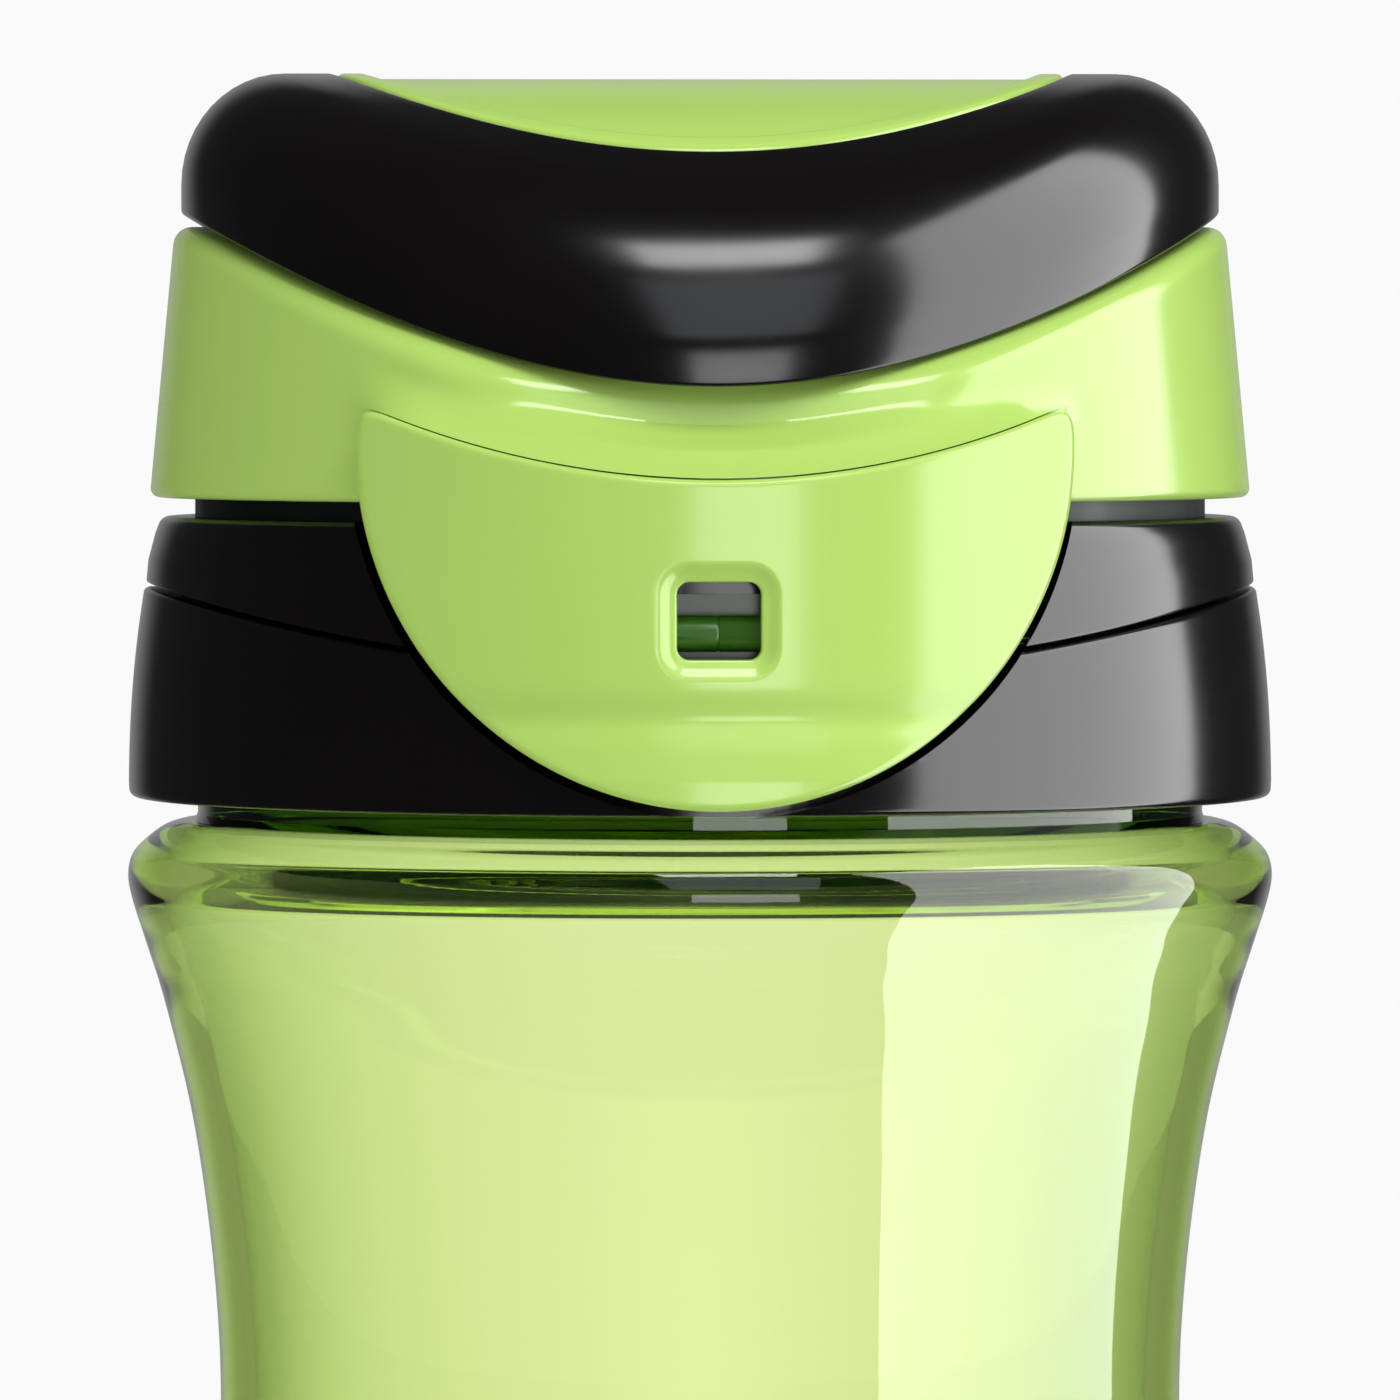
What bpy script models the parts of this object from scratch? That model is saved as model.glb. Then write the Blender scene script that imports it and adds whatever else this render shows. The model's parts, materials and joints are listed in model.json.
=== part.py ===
"""Kids water bottle with a screw-on lid and a flip-top cap.

Frame: metres, +Z up, origin at the centre of the base, front of the bottle
(its latch tab) facing -Y. Every sub-part is one named object.
"""

import math

import bmesh
import bpy
from mathutils import Matrix, Vector

MM = 0.001

# ---- driving dimensions ------------------------------------------------------
HEIGHT = 190.0 * MM          # base to the top of the crown
GAP = 0.3 * MM               # between pieces that rest on each other
ROUND = 40                   # sides of the large turned pieces
SMALL_ROUND = 24             # sides of the small ones

# bottle
OUTSIDE_STATIONS = [         # (radius, height) in mm, from the base's middle up
    (0.0, 3.0), (22.0, 2.4), (26.0, 0.0), (31.0, 0.0), (33.2, 1.6),
    (34.2, 5.0), (34.4, 20.0), (33.9, 44.0), (32.2, 68.0), (30.8, 88.0),
    (30.3, 104.0), (31.0, 118.0), (32.7, 127.5), (35.0, 135.3), (36.1, 139.3),
    (35.6, 141.0), (33.8, 142.6), (32.0, 143.3),
]
INSIDE_STATIONS = [          # (radius, height) in mm, from the mouth down
    (27.2, 146.4), (28.6, 144.9), (29.6, 142.6), (32.6, 140.2), (33.7, 138.4), (32.7, 135.0),
    (30.5, 127.5), (28.8, 118.0), (28.1, 104.0), (28.6, 88.0), (30.0, 68.0),
    (31.7, 44.0), (32.2, 20.0), (31.6, 7.4), (28.0, 4.4), (20.0, 5.0), (0.0, 5.6),
]
BEAD_R = 31.7 * MM           # plain neck between shoulder and thread
NECK_R = 29.5 * MM           # root of the bottle's thread
MOUTH_R = 27.2 * MM
NECK_Z = 143.3 * MM          # where the shoulder meets the neck
RIM_Z = 156.6 * MM

# screw thread, right-handed, two starts
THREAD_LEAD = 8.0 * MM
THREAD_STARTS = 2
THREAD_TURNS = 0.8
THREAD_HEIGHT = 1.3 * MM
THREAD_ROOT_WIDTH = 1.9 * MM
THREAD_CREST_WIDTH = 1.0 * MM
THREAD_Z = 147.8 * MM        # middle of the bottle's ridge where it starts
THREAD_STEPS = 26            # steps along one ridge

# lid
SKIRT_R = 32.3 * MM          # outside of the inner lid
SKIRT_BOTTOM = 145.4 * MM
THREAD_ROOT_R = 31.1 * MM    # inside of the inner lid's skirt
PLATE_BOTTOM = 158.3 * MM
PLATE_TOP = 160.5 * MM
STEP_Z = 160.9 * MM
LID_NECK_R = 31.7 * MM
LID_NECK_TOP = 166.0 * MM
SHELL_INNER_R = 32.6 * MM
COLLAR_BOTTOM = 144.5 * MM
COLLAR_R = 36.05 * MM
DECK_TOP = 162.15 * MM
PARTING_Z = 157.7 * MM       # parting line at the left and right
PARTING_ARC = 128.5 * MM     # radius of the parting line, seen from the side

# cap
CAP_BOTTOM = 163.35 * MM
CAP_R = 34.7 * MM
CAP_DRAFT = 0.094            # radius lost per height
CAP_WALL = 2.3 * MM
SEAM_Z = 181.1 * MM          # top of the cap shell at the left and right
SEAM_ARC = 54.7 * MM
CROWN_R = 32.7 * MM
CROWN_ARC = 54.5 * MM
CROWN_WALL = 2.2 * MM
INLAY_R = 22.9 * MM
INLAY_THICK = 1.6 * MM

# cap hinge
HINGE_Y = 35.2 * MM
HINGE_Z = 160.0 * MM
KNUCKLE_R = 2.1 * MM
HINGE_PIN_R = 0.9 * MM
PIN_CLEARANCE = 0.12 * MM

# latch
TAB_OUTER_R = 37.3 * MM
TAB_INNER_R = 35.1 * MM
TAB_CENTRE_Z = 166.7 * MM
TAB_DISC_R = 21.85 * MM
TAB_TOP_Z = 164.8 * MM       # upper edge at the middle
TAB_TOP_ARC = 54.0 * MM
LATCH_Y = -33.9 * MM
LATCH_Z = 155.5 * MM
LATCH_PIN_R = 1.1 * MM
LATCH_LUG_R = 1.5 * MM       # ends of the lid's lugs, around the pin
TAB_LUG_R = 1.75 * MM
WINDOW_Z = 156.3 * MM
WINDOW_WIDTH = 5.05 * MM
WINDOW_HEIGHT = 4.67 * MM
POCKET_R = 33.4 * MM
HOOK_X = 16.5 * MM
HOOK_WIDTH = 5.0 * MM
HOOK_Z = 165.3 * MM
HOOK_HEIGHT = 1.0 * MM
HOOK_TIP_R = 33.9 * MM

# spout
SPOUT_Y = -5.0 * MM
SPOUT_TOP = 172.5 * MM
SPOUT_BORE_R = 6.2 * MM
SPOUT_R = 7.9 * MM
VENT_Y = 15.0 * MM

GREEN = (0.44, 0.70, 0.19, 1.0)
DEEP_GREEN = (0.30, 0.55, 0.12, 1.0)
BLACK = (0.012, 0.011, 0.014, 1.0)
CLEAR_GREEN = (0.55, 0.80, 0.26, 0.45)
SILICONE = (0.80, 0.82, 0.78, 1.0)
DARK_SEAL = (0.02, 0.05, 0.05, 1.0)
STEEL = (0.60, 0.60, 0.62, 1.0)


# ---- small helpers -----------------------------------------------------------
def clear_scene():
    for item in list(bpy.data.objects):
        bpy.data.objects.remove(item, do_unlink=True)


def plastic(name, colour, roughness, metallic=0.0):
    material = bpy.data.materials.new(name)
    material.use_nodes = True
    shader = material.node_tree.nodes["Principled BSDF"]
    shader.inputs["Base Color"].default_value = colour
    shader.inputs["Roughness"].default_value = roughness
    shader.inputs["Metallic"].default_value = metallic
    shader.inputs["Alpha"].default_value = colour[3]
    material.diffuse_color = colour
    return material


def add_object(name, mesh):
    piece = bpy.data.objects.new(name, mesh)
    bpy.context.scene.collection.objects.link(piece)
    return piece


def finish_mesh(name, work):
    """Turn a bmesh into a named object with its faces pointing out."""
    bmesh.ops.recalc_face_normals(work, faces=work.faces[:])
    mesh = bpy.data.meshes.new(name)
    work.to_mesh(mesh)
    work.free()
    mesh.shade_smooth()
    mesh.set_sharp_from_angle(angle=math.radians(35))
    return add_object(name, mesh)


def skin_rings(name, rings, closed):
    """Join rings of points with faces; a ring of one point is a pole."""
    work = bmesh.new()
    rows = [[work.verts.new(point) for point in ring] for ring in rings]
    pairs = list(zip(rows, rows[1:]))
    if closed:
        pairs.append((rows[-1], rows[0]))
    for first, second in pairs:
        sides = max(len(first), len(second))
        for k in range(sides):
            corners = [
                first[k % len(first)],
                first[(k + 1) % len(first)],
                second[(k + 1) % len(second)],
                second[k % len(second)],
            ]
            work.faces.new(list(dict.fromkeys(corners)))
    return finish_mesh(name, work)


def turned(name, profile, sides=ROUND, centre=(0.0, 0.0), closed=True):
    """Turn a profile about a vertical axis.

    Each profile entry is (radius, height), or a function of the angle that
    returns them, for an edge that rises and falls around the piece.
    """
    rings = []
    for entry in profile:
        ring = []
        for k in range(sides):
            angle = 2.0 * math.pi * k / sides
            radius, height = entry(angle) if callable(entry) else entry
            x = centre[0] + radius * math.cos(angle)
            y = centre[1] + radius * math.sin(angle)
            ring.append((x, y, height))
        rings.append(ring[:1] if radius == 0.0 else ring)
    return skin_rings(name, rings, closed)


def rod(name, start, end, radius, sides=SMALL_ROUND):
    """A round bar between two points."""
    start, end = Vector(start), Vector(end)
    along = (end - start).normalized()
    turn = Vector((0.0, 0.0, 1.0)).rotation_difference(along).to_matrix()
    rings = []
    for centre in (start, end):
        ring = []
        for k in range(sides):
            angle = 2.0 * math.pi * k / sides
            offset = Vector((math.cos(angle), math.sin(angle), 0.0)) * radius
            ring.append(centre + turn @ offset)
        rings.append(ring)
    return capped(name, rings)


def capped(name, rings):
    """Join rings of equal size and close both ends with a flat face."""
    work = bmesh.new()
    rows = [[work.verts.new(point) for point in ring] for ring in rings]
    for first, second in zip(rows, rows[1:]):
        for k in range(len(first)):
            n = (k + 1) % len(first)
            work.faces.new((first[k], first[n], second[n], second[k]))
    work.faces.new(rows[0])
    work.faces.new(rows[-1])
    return finish_mesh(name, work)


def box(name, low, high):
    corners = [(low[0], low[1]), (high[0], low[1]), (high[0], high[1]), (low[0], high[1])]
    return capped(name, [[(x, y, z) for x, y in corners] for z in (low[2], high[2])])


def prism(name, outline, near_y, far_y):
    """Push an outline of (x, z) points straight back along Y."""
    return capped(name, [[(x, y, z) for x, z in outline] for y in (near_y, far_y)])


def cut(piece, tool, operation="DIFFERENCE"):
    """Boolean one object with another, which is then only a guide."""
    modifier = piece.modifiers.new(operation.title() + " " + tool.name, "BOOLEAN")
    modifier.operation = operation
    modifier.solver = "EXACT"
    modifier.object = tool
    tool.hide_render = True
    tool.display_type = "WIRE"


def join(piece, tool):
    cut(piece, tool, "UNION")


def arc_drop(arc, y):
    """How far an arc of this radius has fallen at a distance from its top."""
    return arc - math.sqrt(arc * arc - y * y)


def edge_on_arc(height, arc, radius):
    """A ring whose height follows an arc from front to back.

    radius is a number, or a function of the height there.
    """

    def ring(angle):
        here = radius(height) if callable(radius) else radius
        z = height
        for _ in range(4):
            z = height - arc_drop(arc, here * math.sin(angle))
            here = radius(z) if callable(radius) else radius
        return here, z

    return ring


def wire(name, points, radius):
    """A bent round wire with closed ends."""
    curve = bpy.data.curves.new(name, "CURVE")
    curve.dimensions = "3D"
    curve.bevel_depth = radius
    curve.bevel_resolution = 1
    curve.resolution_u = 1
    curve.render_resolution_u = 0
    curve.use_fill_caps = True
    spline = curve.splines.new("POLY")
    spline.points.add(len(points) - 1)
    for point, place in zip(spline.points, points):
        point.co = (*place, 1.0)
    return add_object(name, curve)


# ---- bottle ------------------------------------------------------------------
def thread_ridges(name, root_r, crest_r, start_z):
    """The helical ridges of one thread, each a closed bar with faded ends."""
    ridges = []
    outward = 1.0 if crest_r > root_r else -1.0
    buried_r = root_r - outward * 0.5 * MM
    for start in range(THREAD_STARTS):
        rings = []
        for step in range(THREAD_STEPS + 1):
            share = step / THREAD_STEPS
            fade = min(1.0, 6.0 * share + 0.12, 6.0 * (1.0 - share) + 0.12)
            turn = THREAD_TURNS * share
            angle = 2.0 * math.pi * (turn + start / THREAD_STARTS)
            middle = start_z + THREAD_LEAD * turn
            tip_r = root_r + (crest_r - root_r) * fade
            outline = (
                (buried_r, -THREAD_ROOT_WIDTH / 2),
                (root_r, -THREAD_ROOT_WIDTH / 2),
                (tip_r, -THREAD_CREST_WIDTH / 2),
                (tip_r, THREAD_CREST_WIDTH / 2),
                (root_r, THREAD_ROOT_WIDTH / 2),
                (buried_r, THREAD_ROOT_WIDTH / 2),
            )
            rings.append(
                [(r * math.cos(angle), r * math.sin(angle), middle + z) for r, z in outline]
            )
        ridges.append(capped(f"{name}_{start}", rings))
    return ridges


def make_bottle():
    neck = [
        (BEAD_R, NECK_Z + 0.2 * MM),
        (BEAD_R, SKIRT_BOTTOM - 2 * GAP),
        (BEAD_R - 0.5 * MM, SKIRT_BOTTOM - GAP),
        (NECK_R, SKIRT_BOTTOM - GAP + 0.4 * MM),
        (NECK_R, RIM_Z - 0.5 * MM),
        (NECK_R - 0.5 * MM, RIM_Z),
        (MOUTH_R + 0.4 * MM, RIM_Z),
        (MOUTH_R, RIM_Z - 0.4 * MM),
    ]
    outside = [(r * MM, z * MM) for r, z in OUTSIDE_STATIONS]
    inside = [(r * MM, z * MM) for r, z in INSIDE_STATIONS]
    bottle = turned("bottle_body", outside + neck + inside, closed=False)
    for ridge in thread_ridges("neck_thread", NECK_R, NECK_R + THREAD_HEIGHT, THREAD_Z):
        join(bottle, ridge)
    return bottle


def make_gasket():
    inner, outer = MOUTH_R + 0.3 * MM, THREAD_ROOT_R - GAP
    low, high = RIM_Z + GAP, PLATE_BOTTOM - GAP
    middle = (low + high) / 2
    bulge = 0.15 * MM
    return turned(
        "neck_gasket",
        [(inner, low), (outer, low), (outer + bulge, middle), (outer, high), (inner, high)],
    )


# ---- screw-on lid ------------------------------------------------------------
def make_lid_body():
    """Inner lid: threaded skirt, plate, neck, hinge ears and latch lugs."""
    locator_r = MOUTH_R - 2 * GAP
    locator_wall = 1.1 * MM
    locator_bottom = RIM_Z - 1.6 * MM
    neck_in = LID_NECK_R - 2.1 * MM
    seal_seat_r = LID_NECK_R - 1.3 * MM
    seal_seat_z = LID_NECK_TOP - 1.8 * MM
    profile = [
        (0.0, PLATE_TOP),
        (neck_in, PLATE_TOP),
        (neck_in, LID_NECK_TOP),
        (seal_seat_r, LID_NECK_TOP),
        (seal_seat_r, seal_seat_z),
        (LID_NECK_R, seal_seat_z),
        (LID_NECK_R, STEP_Z),
        (SKIRT_R, STEP_Z),
        (SKIRT_R, SKIRT_BOTTOM),
        (THREAD_ROOT_R, SKIRT_BOTTOM),
        (THREAD_ROOT_R, PLATE_BOTTOM),
        (locator_r, PLATE_BOTTOM),
        (locator_r, locator_bottom),
        (locator_r - locator_wall, locator_bottom),
        (locator_r - locator_wall, PLATE_BOTTOM),
        (0.0, PLATE_BOTTOM),
    ]
    lid = turned("lid_body", profile, closed=False)
    mesh_offset = (THREAD_ROOT_WIDTH + THREAD_CREST_WIDTH) / 2 + GAP
    ridges = thread_ridges(
        "lid_thread", THREAD_ROOT_R, THREAD_ROOT_R - THREAD_HEIGHT, THREAD_Z - mesh_offset
    )
    for ridge in ridges:
        join(lid, ridge)
    lug_space = box(
        "tab_lug_space",
        (-5.5 * MM, -34 * MM, LATCH_Z - TAB_LUG_R - 2 * GAP),
        (5.5 * MM, -31.75 * MM, LATCH_Z + TAB_LUG_R + 2 * GAP),
    )
    cut(lid, lug_space)
    for side in (-1, 1):
        join(lid, hinge_ear(side))
        join(lid, latch_lug(side))
    above, below = PLATE_TOP + 1 * MM, PLATE_BOTTOM - 1 * MM
    cut(lid, rod("spout_hole", (0, SPOUT_Y, below), (0, SPOUT_Y, above), SPOUT_R + GAP))
    cut(lid, rod("vent_hole", (0, VENT_Y, below), (0, VENT_Y, above), 1.6 * MM))
    for side in (-1, 1):
        x = side * 2.5 * MM
        cut(lid, rod(f"air_hole_{side}", (x, VENT_Y, below), (x, VENT_Y, above), 0.6 * MM, 12))
    pin_hole_r = HINGE_PIN_R + PIN_CLEARANCE
    cut(lid, across("hinge_bore", HINGE_Y, HINGE_Z, pin_hole_r, 14 * MM))
    cut(lid, across("latch_bore", LATCH_Y, LATCH_Z, LATCH_PIN_R + PIN_CLEARANCE, 9 * MM))
    return lid


def across(name, y, z, radius, half_length, sides=SMALL_ROUND):
    """A round bar lying along X."""
    return rod(name, (-half_length, y, z), (half_length, y, z), radius, sides)


def hinge_ear(side):
    """One of the two ears that carry the ends of the hinge pin."""
    inner, outer = 8.3 * MM, 12.2 * MM
    root_y = 30.6 * MM
    outline = [(root_y, HINGE_Z - KNUCKLE_R), (root_y, HINGE_Z + 0.6 * MM)]
    outline += half_round(HINGE_Y, HINGE_Z, KNUCKLE_R, 90, -90)
    near, far = sorted((side * inner, side * outer))
    rings = [[(x, y, z) for y, z in outline] for x in (near, far)]
    return capped(f"hinge_ear_{side}", rings)


def latch_lug(side):
    """One of the two lugs in front that carry the ends of the latch pin."""
    inner, outer = 5.5 * MM, 7.6 * MM
    root_y = -31.3 * MM
    outline = [(root_y, LATCH_Z + LATCH_LUG_R), (root_y, LATCH_Z - LATCH_LUG_R)]
    outline += half_round(LATCH_Y, LATCH_Z, LATCH_LUG_R, -90, -270)
    near, far = sorted((side * inner, side * outer))
    rings = [[(x, y, z) for y, z in outline] for x in (near, far)]
    return capped(f"latch_lug_{side}", rings)


def half_round(y, z, radius, first, last, steps=12):
    """Points of a half circle in the YZ plane, angles in degrees from +Y."""
    points = []
    for k in range(steps + 1):
        angle = math.radians(first + (last - first) * k / steps)
        points.append((y + radius * math.cos(angle), z + radius * math.sin(angle)))
    return points


def lid_outline_r(z):
    """Outside radius of the lid's two black rings at a height."""
    stations = [
        (144.5, 36.05), (149.9, 35.85), (153.6, 35.65), (155.9, 35.4),
        (157.8, 35.05), (159.4, 34.8), (161.3, 34.3), (162.2, 33.7),
    ]
    z = z / MM
    for (z0, r0), (z1, r1) in zip(stations, stations[1:]):
        if z <= z1:
            return (r0 + (r1 - r0) * (z - z0) / (z1 - z0)) * MM
    return stations[-1][1] * MM


def tab_outline(grow):
    """Front outline of the tab as (x, z): a disc cut off by a hollow upper edge."""
    radius = TAB_DISC_R + grow
    corner_x = 21.6 * MM + grow
    points = []
    steps = 36
    side_angle = math.degrees(math.acos(min(1.0, corner_x / radius)))
    for k in range(steps + 1):
        angle = math.radians(side_angle - (180.0 + 2.0 * side_angle) * k / steps)
        points.append((radius * math.cos(angle), TAB_CENTRE_Z + radius * math.sin(angle)))
    for k in range(1, 18):
        x = -corner_x + 2 * corner_x * k / 18
        points.append((x, TAB_TOP_Z + grow + arc_drop(TAB_TOP_ARC, x)))
    return points


def front_band(name, inner_r, outer_r, grow):
    """A curved slab in front of the lid with the tab's outline."""
    low, high = 140 * MM, 176 * MM
    band = turned(
        name,
        [(inner_r, low), (outer_r, low), (outer_r, high), (inner_r, high)],
        sides=96,
    )
    cut(band, prism(name + "_outline", tab_outline(grow), -42 * MM, -20 * MM), "INTERSECT")
    return band


def make_collar(pocket):
    edge = 0.45 * MM
    collar = turned(
        "collar_shell",
        [
            (SHELL_INNER_R, COLLAR_BOTTOM),
            (COLLAR_R - 0.5 * MM, COLLAR_BOTTOM),
            (COLLAR_R, COLLAR_BOTTOM + 0.5 * MM),
            (lid_outline_r(151 * MM), 151 * MM),
            edge_on_arc(PARTING_Z - edge, PARTING_ARC, lid_outline_r),
            edge_on_arc(PARTING_Z, PARTING_ARC, lambda z: lid_outline_r(z) - edge),
            edge_on_arc(PARTING_Z, PARTING_ARC, SHELL_INNER_R),
        ],
    )
    cut(collar, pocket)
    return collar


def make_deck(pocket):
    flange_in = LID_NECK_R + GAP
    step = 0.15 * MM
    deck = turned(
        "deck_shell",
        [
            (SHELL_INNER_R, STEP_Z + GAP),
            (flange_in, STEP_Z + GAP),
            (flange_in, DECK_TOP),
            (33.75 * MM, DECK_TOP),
            (34.2 * MM, DECK_TOP - 0.4 * MM),
            (34.65 * MM, 159.6 * MM),
            edge_on_arc(PARTING_Z + GAP, PARTING_ARC, lambda z: lid_outline_r(z) - step),
            edge_on_arc(PARTING_Z + GAP, PARTING_ARC, SHELL_INNER_R),
        ],
    )
    hinge_room = box(
        "hinge_room",
        (-12.5 * MM, 25 * MM, HINGE_Z - KNUCKLE_R - GAP),
        (12.5 * MM, 40 * MM, 170 * MM),
    )
    cut(deck, hinge_room)
    latch_room = box(
        "latch_room",
        (-7.95 * MM, -40 * MM, LATCH_Z - 2.4 * MM),
        (7.95 * MM, -25 * MM, LATCH_Z + 2.4 * MM),
    )
    cut(deck, latch_room)
    cut(deck, pocket)
    return deck


def make_cap_seal():
    low = LID_NECK_TOP - 1.8 * MM + GAP
    inner, outer = LID_NECK_R - 1.0 * MM, LID_NECK_R + 0.2 * MM
    return turned(
        "cap_seal",
        [
            (inner, low), (outer - 0.2 * MM, low), (outer, low + 0.5 * MM),
            (outer - 0.2 * MM, low + 1.2 * MM), (inner, low + 1.2 * MM),
        ],
    )


def make_spout():
    flange_low = PLATE_TOP + GAP
    return turned(
        "spout",
        [
            (SPOUT_BORE_R, PLATE_BOTTOM - 2.5 * MM),
            (SPOUT_R, PLATE_BOTTOM - 2.5 * MM),
            (SPOUT_R, flange_low),
            (11.0 * MM, flange_low),
            (11.0 * MM, flange_low + 1.2 * MM),
            (9.6 * MM, flange_low + 1.9 * MM),
            (8.9 * MM, flange_low + 4.0 * MM),
            (8.0 * MM, SPOUT_TOP - 1.2 * MM),
            (7.4 * MM, SPOUT_TOP - 0.2 * MM),
            (SPOUT_BORE_R + 0.4 * MM, SPOUT_TOP),
            (SPOUT_BORE_R, SPOUT_TOP - 0.5 * MM),
        ],
        sides=SMALL_ROUND,
        centre=(0.0, SPOUT_Y),
    )


def make_retainer():
    high, low = PLATE_BOTTOM - GAP, PLATE_BOTTOM - 5.4 * MM
    lip = low + 1.3 * MM
    bore = SPOUT_R + GAP
    return turned(
        "spout_retainer",
        [(bore, high), (11.5 * MM, high), (11.5 * MM, low), (5.2 * MM, low), (5.2 * MM, lip), (bore, lip)],
        sides=SMALL_ROUND,
        centre=(0.0, SPOUT_Y),
    )


def make_flow_valve():
    seat = PLATE_BOTTOM - 4.1 * MM + GAP
    top = PLATE_BOTTOM - 2.5 * MM - GAP
    valve = turned(
        "flow_valve",
        [
            (0.0, seat - 2.0 * MM), (3.2 * MM, seat - 1.5 * MM), (4.9 * MM, seat),
            (SPOUT_R, seat), (SPOUT_R, top), (4.2 * MM, top),
            (2.6 * MM, seat - 0.8 * MM), (0.0, seat - 1.2 * MM),
        ],
        sides=SMALL_ROUND,
        centre=(0.0, SPOUT_Y),
        closed=False,
    )
    slit = box(
        "valve_slit",
        (-1.8 * MM, SPOUT_Y - 0.1 * MM, seat - 3 * MM),
        (1.8 * MM, SPOUT_Y + 0.1 * MM, top + 1 * MM),
    )
    cut(valve, slit)
    return valve


def make_vent_valve():
    seat = PLATE_TOP + GAP
    return turned(
        "vent_valve",
        [
            (0.0, seat + 0.9 * MM), (2.0 * MM, seat + 0.8 * MM), (3.6 * MM, seat + 0.3 * MM),
            (3.6 * MM, seat), (1.3 * MM, seat), (1.3 * MM, PLATE_BOTTOM - 0.3 * MM),
            (1.9 * MM, PLATE_BOTTOM - GAP - 0.1 * MM), (0.8 * MM, PLATE_BOTTOM - 2.2 * MM),
            (0.0, PLATE_BOTTOM - 2.2 * MM),
        ],
        sides=SMALL_ROUND,
        centre=(0.0, VENT_Y),
        closed=False,
    )


# ---- flip cap ----------------------------------------------------------------
def cap_outline_r(z):
    return CAP_R - CAP_DRAFT * (z - CAP_BOTTOM)


def make_cap():
    """Cap shell: a drafted wall under a saddle-shaped top."""
    corner = 1.2 * MM
    plate = CAP_WALL
    profile = [
        (0.0, SEAM_Z),
        edge_on_arc(SEAM_Z, SEAM_ARC, 11 * MM),
        edge_on_arc(SEAM_Z, SEAM_ARC, 22 * MM),
        edge_on_arc(SEAM_Z, SEAM_ARC, lambda z: cap_outline_r(z) - corner),
        edge_on_arc(SEAM_Z - 0.35 * MM, SEAM_ARC, lambda z: cap_outline_r(z) - 0.35 * MM),
        edge_on_arc(SEAM_Z - corner, SEAM_ARC, cap_outline_r),
        (CAP_R - 0.05 * MM, CAP_BOTTOM + 0.7 * MM),
        (CAP_R - 0.8 * MM, CAP_BOTTOM),
        (CAP_R - CAP_WALL, CAP_BOTTOM),
        edge_on_arc(SEAM_Z - 2 * plate, SEAM_ARC, lambda z: cap_outline_r(z) - CAP_WALL),
        edge_on_arc(SEAM_Z - plate, SEAM_ARC, 27.5 * MM),
        edge_on_arc(SEAM_Z - plate, SEAM_ARC, 22 * MM),
        edge_on_arc(SEAM_Z - plate, SEAM_ARC, 11 * MM),
        (0.0, SEAM_Z - plate),
    ]
    cap = turned("cap_shell", profile, closed=False)
    join(cap, brow())
    boss_low = 176.8 * MM
    join(cap, rod("plug_boss", (0, SPOUT_Y, boss_low), (0, SPOUT_Y, SEAM_Z - 1.2 * MM), 9.2 * MM))
    for side in (-1, 1):
        join(cap, cap_knuckle(side))
        low = (HOOK_X - HOOK_WIDTH / 2 - 0.6 * MM, -36 * MM, CAP_BOTTOM - 1 * MM)
        high = (HOOK_X + HOOK_WIDTH / 2 + 0.6 * MM, -24 * MM, HOOK_Z + HOOK_HEIGHT / 2 + 0.5 * MM)
        left, right = sorted((side * low[0], side * high[0]))
        cut(cap, box(f"hook_notch_{side}", (left, low[1], low[2]), (right, high[1], high[2])))
    cut(cap, across("cap_bore", HINGE_Y, HINGE_Z, HINGE_PIN_R + PIN_CLEARANCE, 10 * MM))
    return cap


def brow():
    """The ridge over the tab's upper edge that brings the cap flush with the tab."""
    clearance = 0.5 * MM
    height = 3.2 * MM
    reach = 32.0
    rings = []
    for step in range(17):
        share = -1.0 + 2.0 * step / 16
        angle = math.radians(reach * share)
        fade = max(0.12, 1.0 - abs(share) ** 5)
        x = TAB_OUTER_R * math.sin(angle)
        low = TAB_TOP_Z + clearance + arc_drop(TAB_TOP_ARC, x)
        base_r = cap_outline_r(low)
        proud = (TAB_OUTER_R - 0.1 * MM - base_r) * fade
        outline = (
            (base_r - 1.0 * MM, low),
            (base_r + proud, low),
            (base_r + proud * 0.92, low + 0.35 * MM),
            (base_r + proud * 0.35, low + 0.45 * height),
            (base_r - 0.15 * MM, low + height),
            (base_r - 1.0 * MM, low + height),
        )
        rings.append([(r * math.sin(angle), -r * math.cos(angle), z) for r, z in outline])
    return capped("tab_brow", rings)


def cap_knuckle(side):
    """One of the cap's two hinge knuckles with the arm up to its wall."""
    inner, outer = 4.2 * MM, 8.0 * MM
    outline = [(33.2 * MM, HINGE_Z + 0.4 * MM), (33.2 * MM, CAP_BOTTOM + 2 * MM)]
    outline += [(34.2 * MM, CAP_BOTTOM + 2 * MM), (HINGE_Y + 0.9 * MM, CAP_BOTTOM)]
    outline += half_round(HINGE_Y, HINGE_Z, KNUCKLE_R, 60, -150)
    near, far = sorted((side * inner, side * outer))
    rings = [[(x, y, z) for y, z in outline] for x in (near, far)]
    return capped(f"cap_knuckle_{side}", rings)


def crown_corner():
    """Rounding of the crown's upper edge as (radius, drop below the top), in mm."""
    return [(27.0, 0.0), (28.7, 0.45), (30.3, 1.5), (31.4, 2.8), (32.2, 5.0)]


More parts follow.
